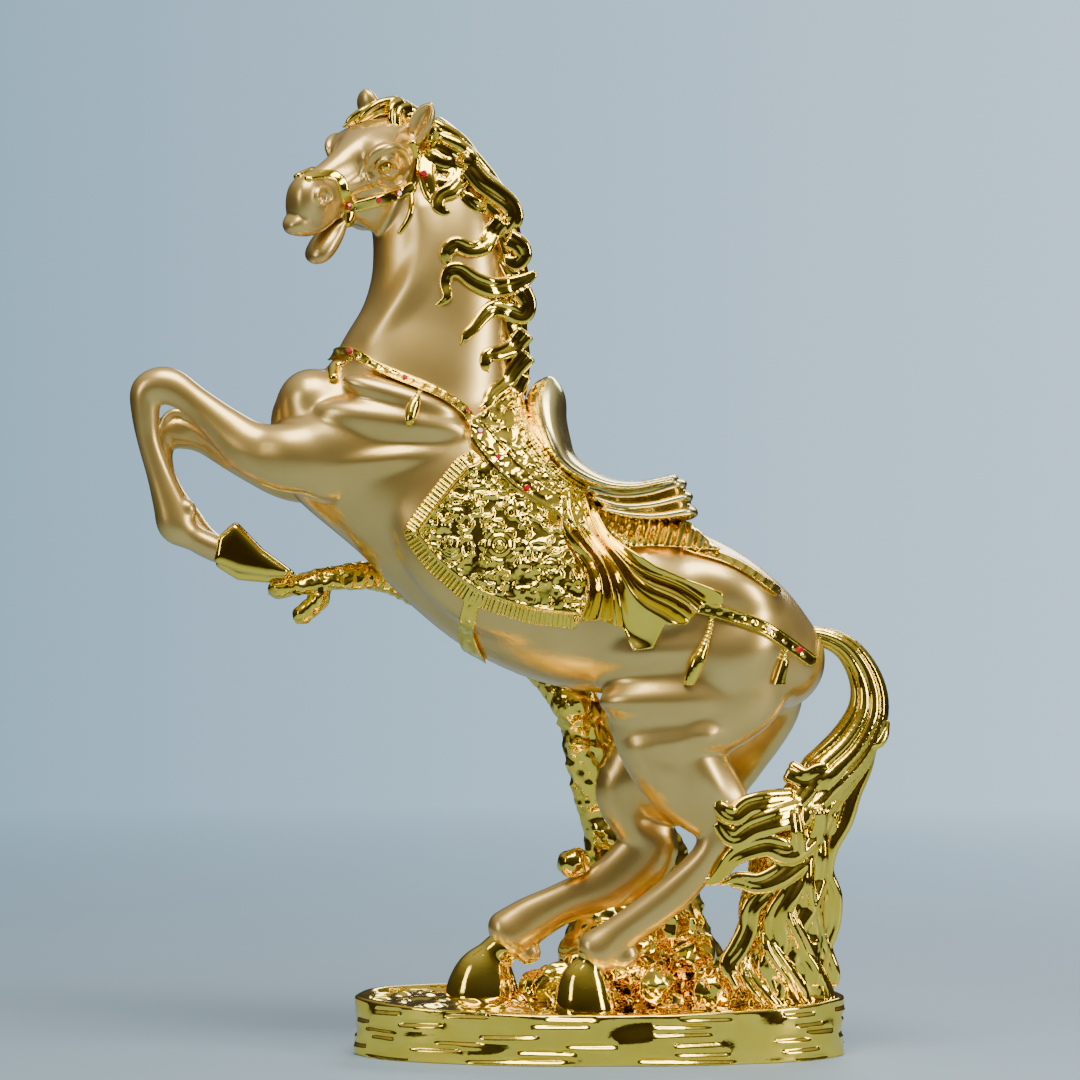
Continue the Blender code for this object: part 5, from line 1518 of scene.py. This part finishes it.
def camera():
    """Level, at the eye that the sheet is drawn from."""
    data = bpy.data.cameras.new("camera")
    data.sensor_fit = "HORIZONTAL"
    data.angle = 2 * math.atan(EYE_X / EYE_DISTANCE)
    made = placed("camera", data)
    made.location = (SHEET_SHIFT * UNIT, -EYE_DISTANCE * UNIT, EYE_HEIGHT * UNIT)
    made.rotation_euler = (math.pi / 2, 0, 0)
    bpy.context.scene.camera = made


def make_head(fine, plate, pearl):
    """The head with its bridle, on a grid finer than the coat's."""
    head = refine(fine.block(*HEAD_BOX))
    model_head(head)
    bridle = head.block(*HEAD_BOX)
    bridle.field[:] = FAR
    model_bridle(bridle, head)
    bridle.field = smooth_max(bridle.field, -(head.field + BRIDLE_SUNK), 0.5)
    solid(bridle, "bridle", plate)
    solid(head, "coat_head", pearl, side=1)


def make_tack(word, coat, skins, plate, rough):
    """Blanket, straps and tassels of one side, hollow where the coat is."""
    low, high, step = TACK_GRIDS[word]
    tack = empty_clay(low, high, step * rough)
    under = resample(coat, tack)
    model_tack(tack, under, coat, skins)
    tack.field = smooth_max(tack.field, -(under.field + TACK_SUNK), 0.5)
    solid(tack, f"tack_{word}", plate)


def make_statue():
    """All pieces of the casting."""
    rough = 1
    pearl = pearl_paint()
    plate = gold("Gold plate", PLATE_TONES, 0.05, 0.06, 420, 0.04)
    satin = gold("Satin gold", SATIN_TONES, 0.2, 0.04, 700, 0.03)
    coat = empty_clay(*COAT_GRID)
    model_coat(coat)
    skins = {side: coat.skin(side) for side in (-1, 1)}

    def gild(name, grid, model, finish, smooth=0):
        low, high, step = grid
        clay = empty_clay(low, high, step * rough)
        model(clay)
        clay.soften(smooth)
        solid(clay, name, finish)

    fine = coat
    if rough == 1:
        fine = refine(coat)
        fine.soften(1)
    make_head(fine, plate, pearl)
    solid(fine, "coat", pearl, side=-1)
    gild("hooves", HOOVES_GRID, model_hooves, plate, 3)
    gild("tree", TREE_GRID, model_tree, plate)
    gild("base", BASE_GRID, lambda clay: clay.add(base_log(log_bark)), plate)
    gild("mane", MANE_GRID, lambda clay: model_mane(clay, coat, skins), plate)
    gild("tail", TAIL_GRID, model_tail, plate)
    for word in TACK_GRIDS:
        make_tack(word, coat, skins, plate, rough)
    gild("saddle", SADDLE_GRID, model_saddle, satin, 2)


def build():
    """The statue on its floor, in its light and before its camera."""
    ruby = red_glass()
    for item in bpy.data.objects:
        if item.name.startswith("stone_"):
            for slot in item.material_slots:
                slot.material = ruby
    make_statue()
    floor()
    studio()
    camera()


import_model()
build()
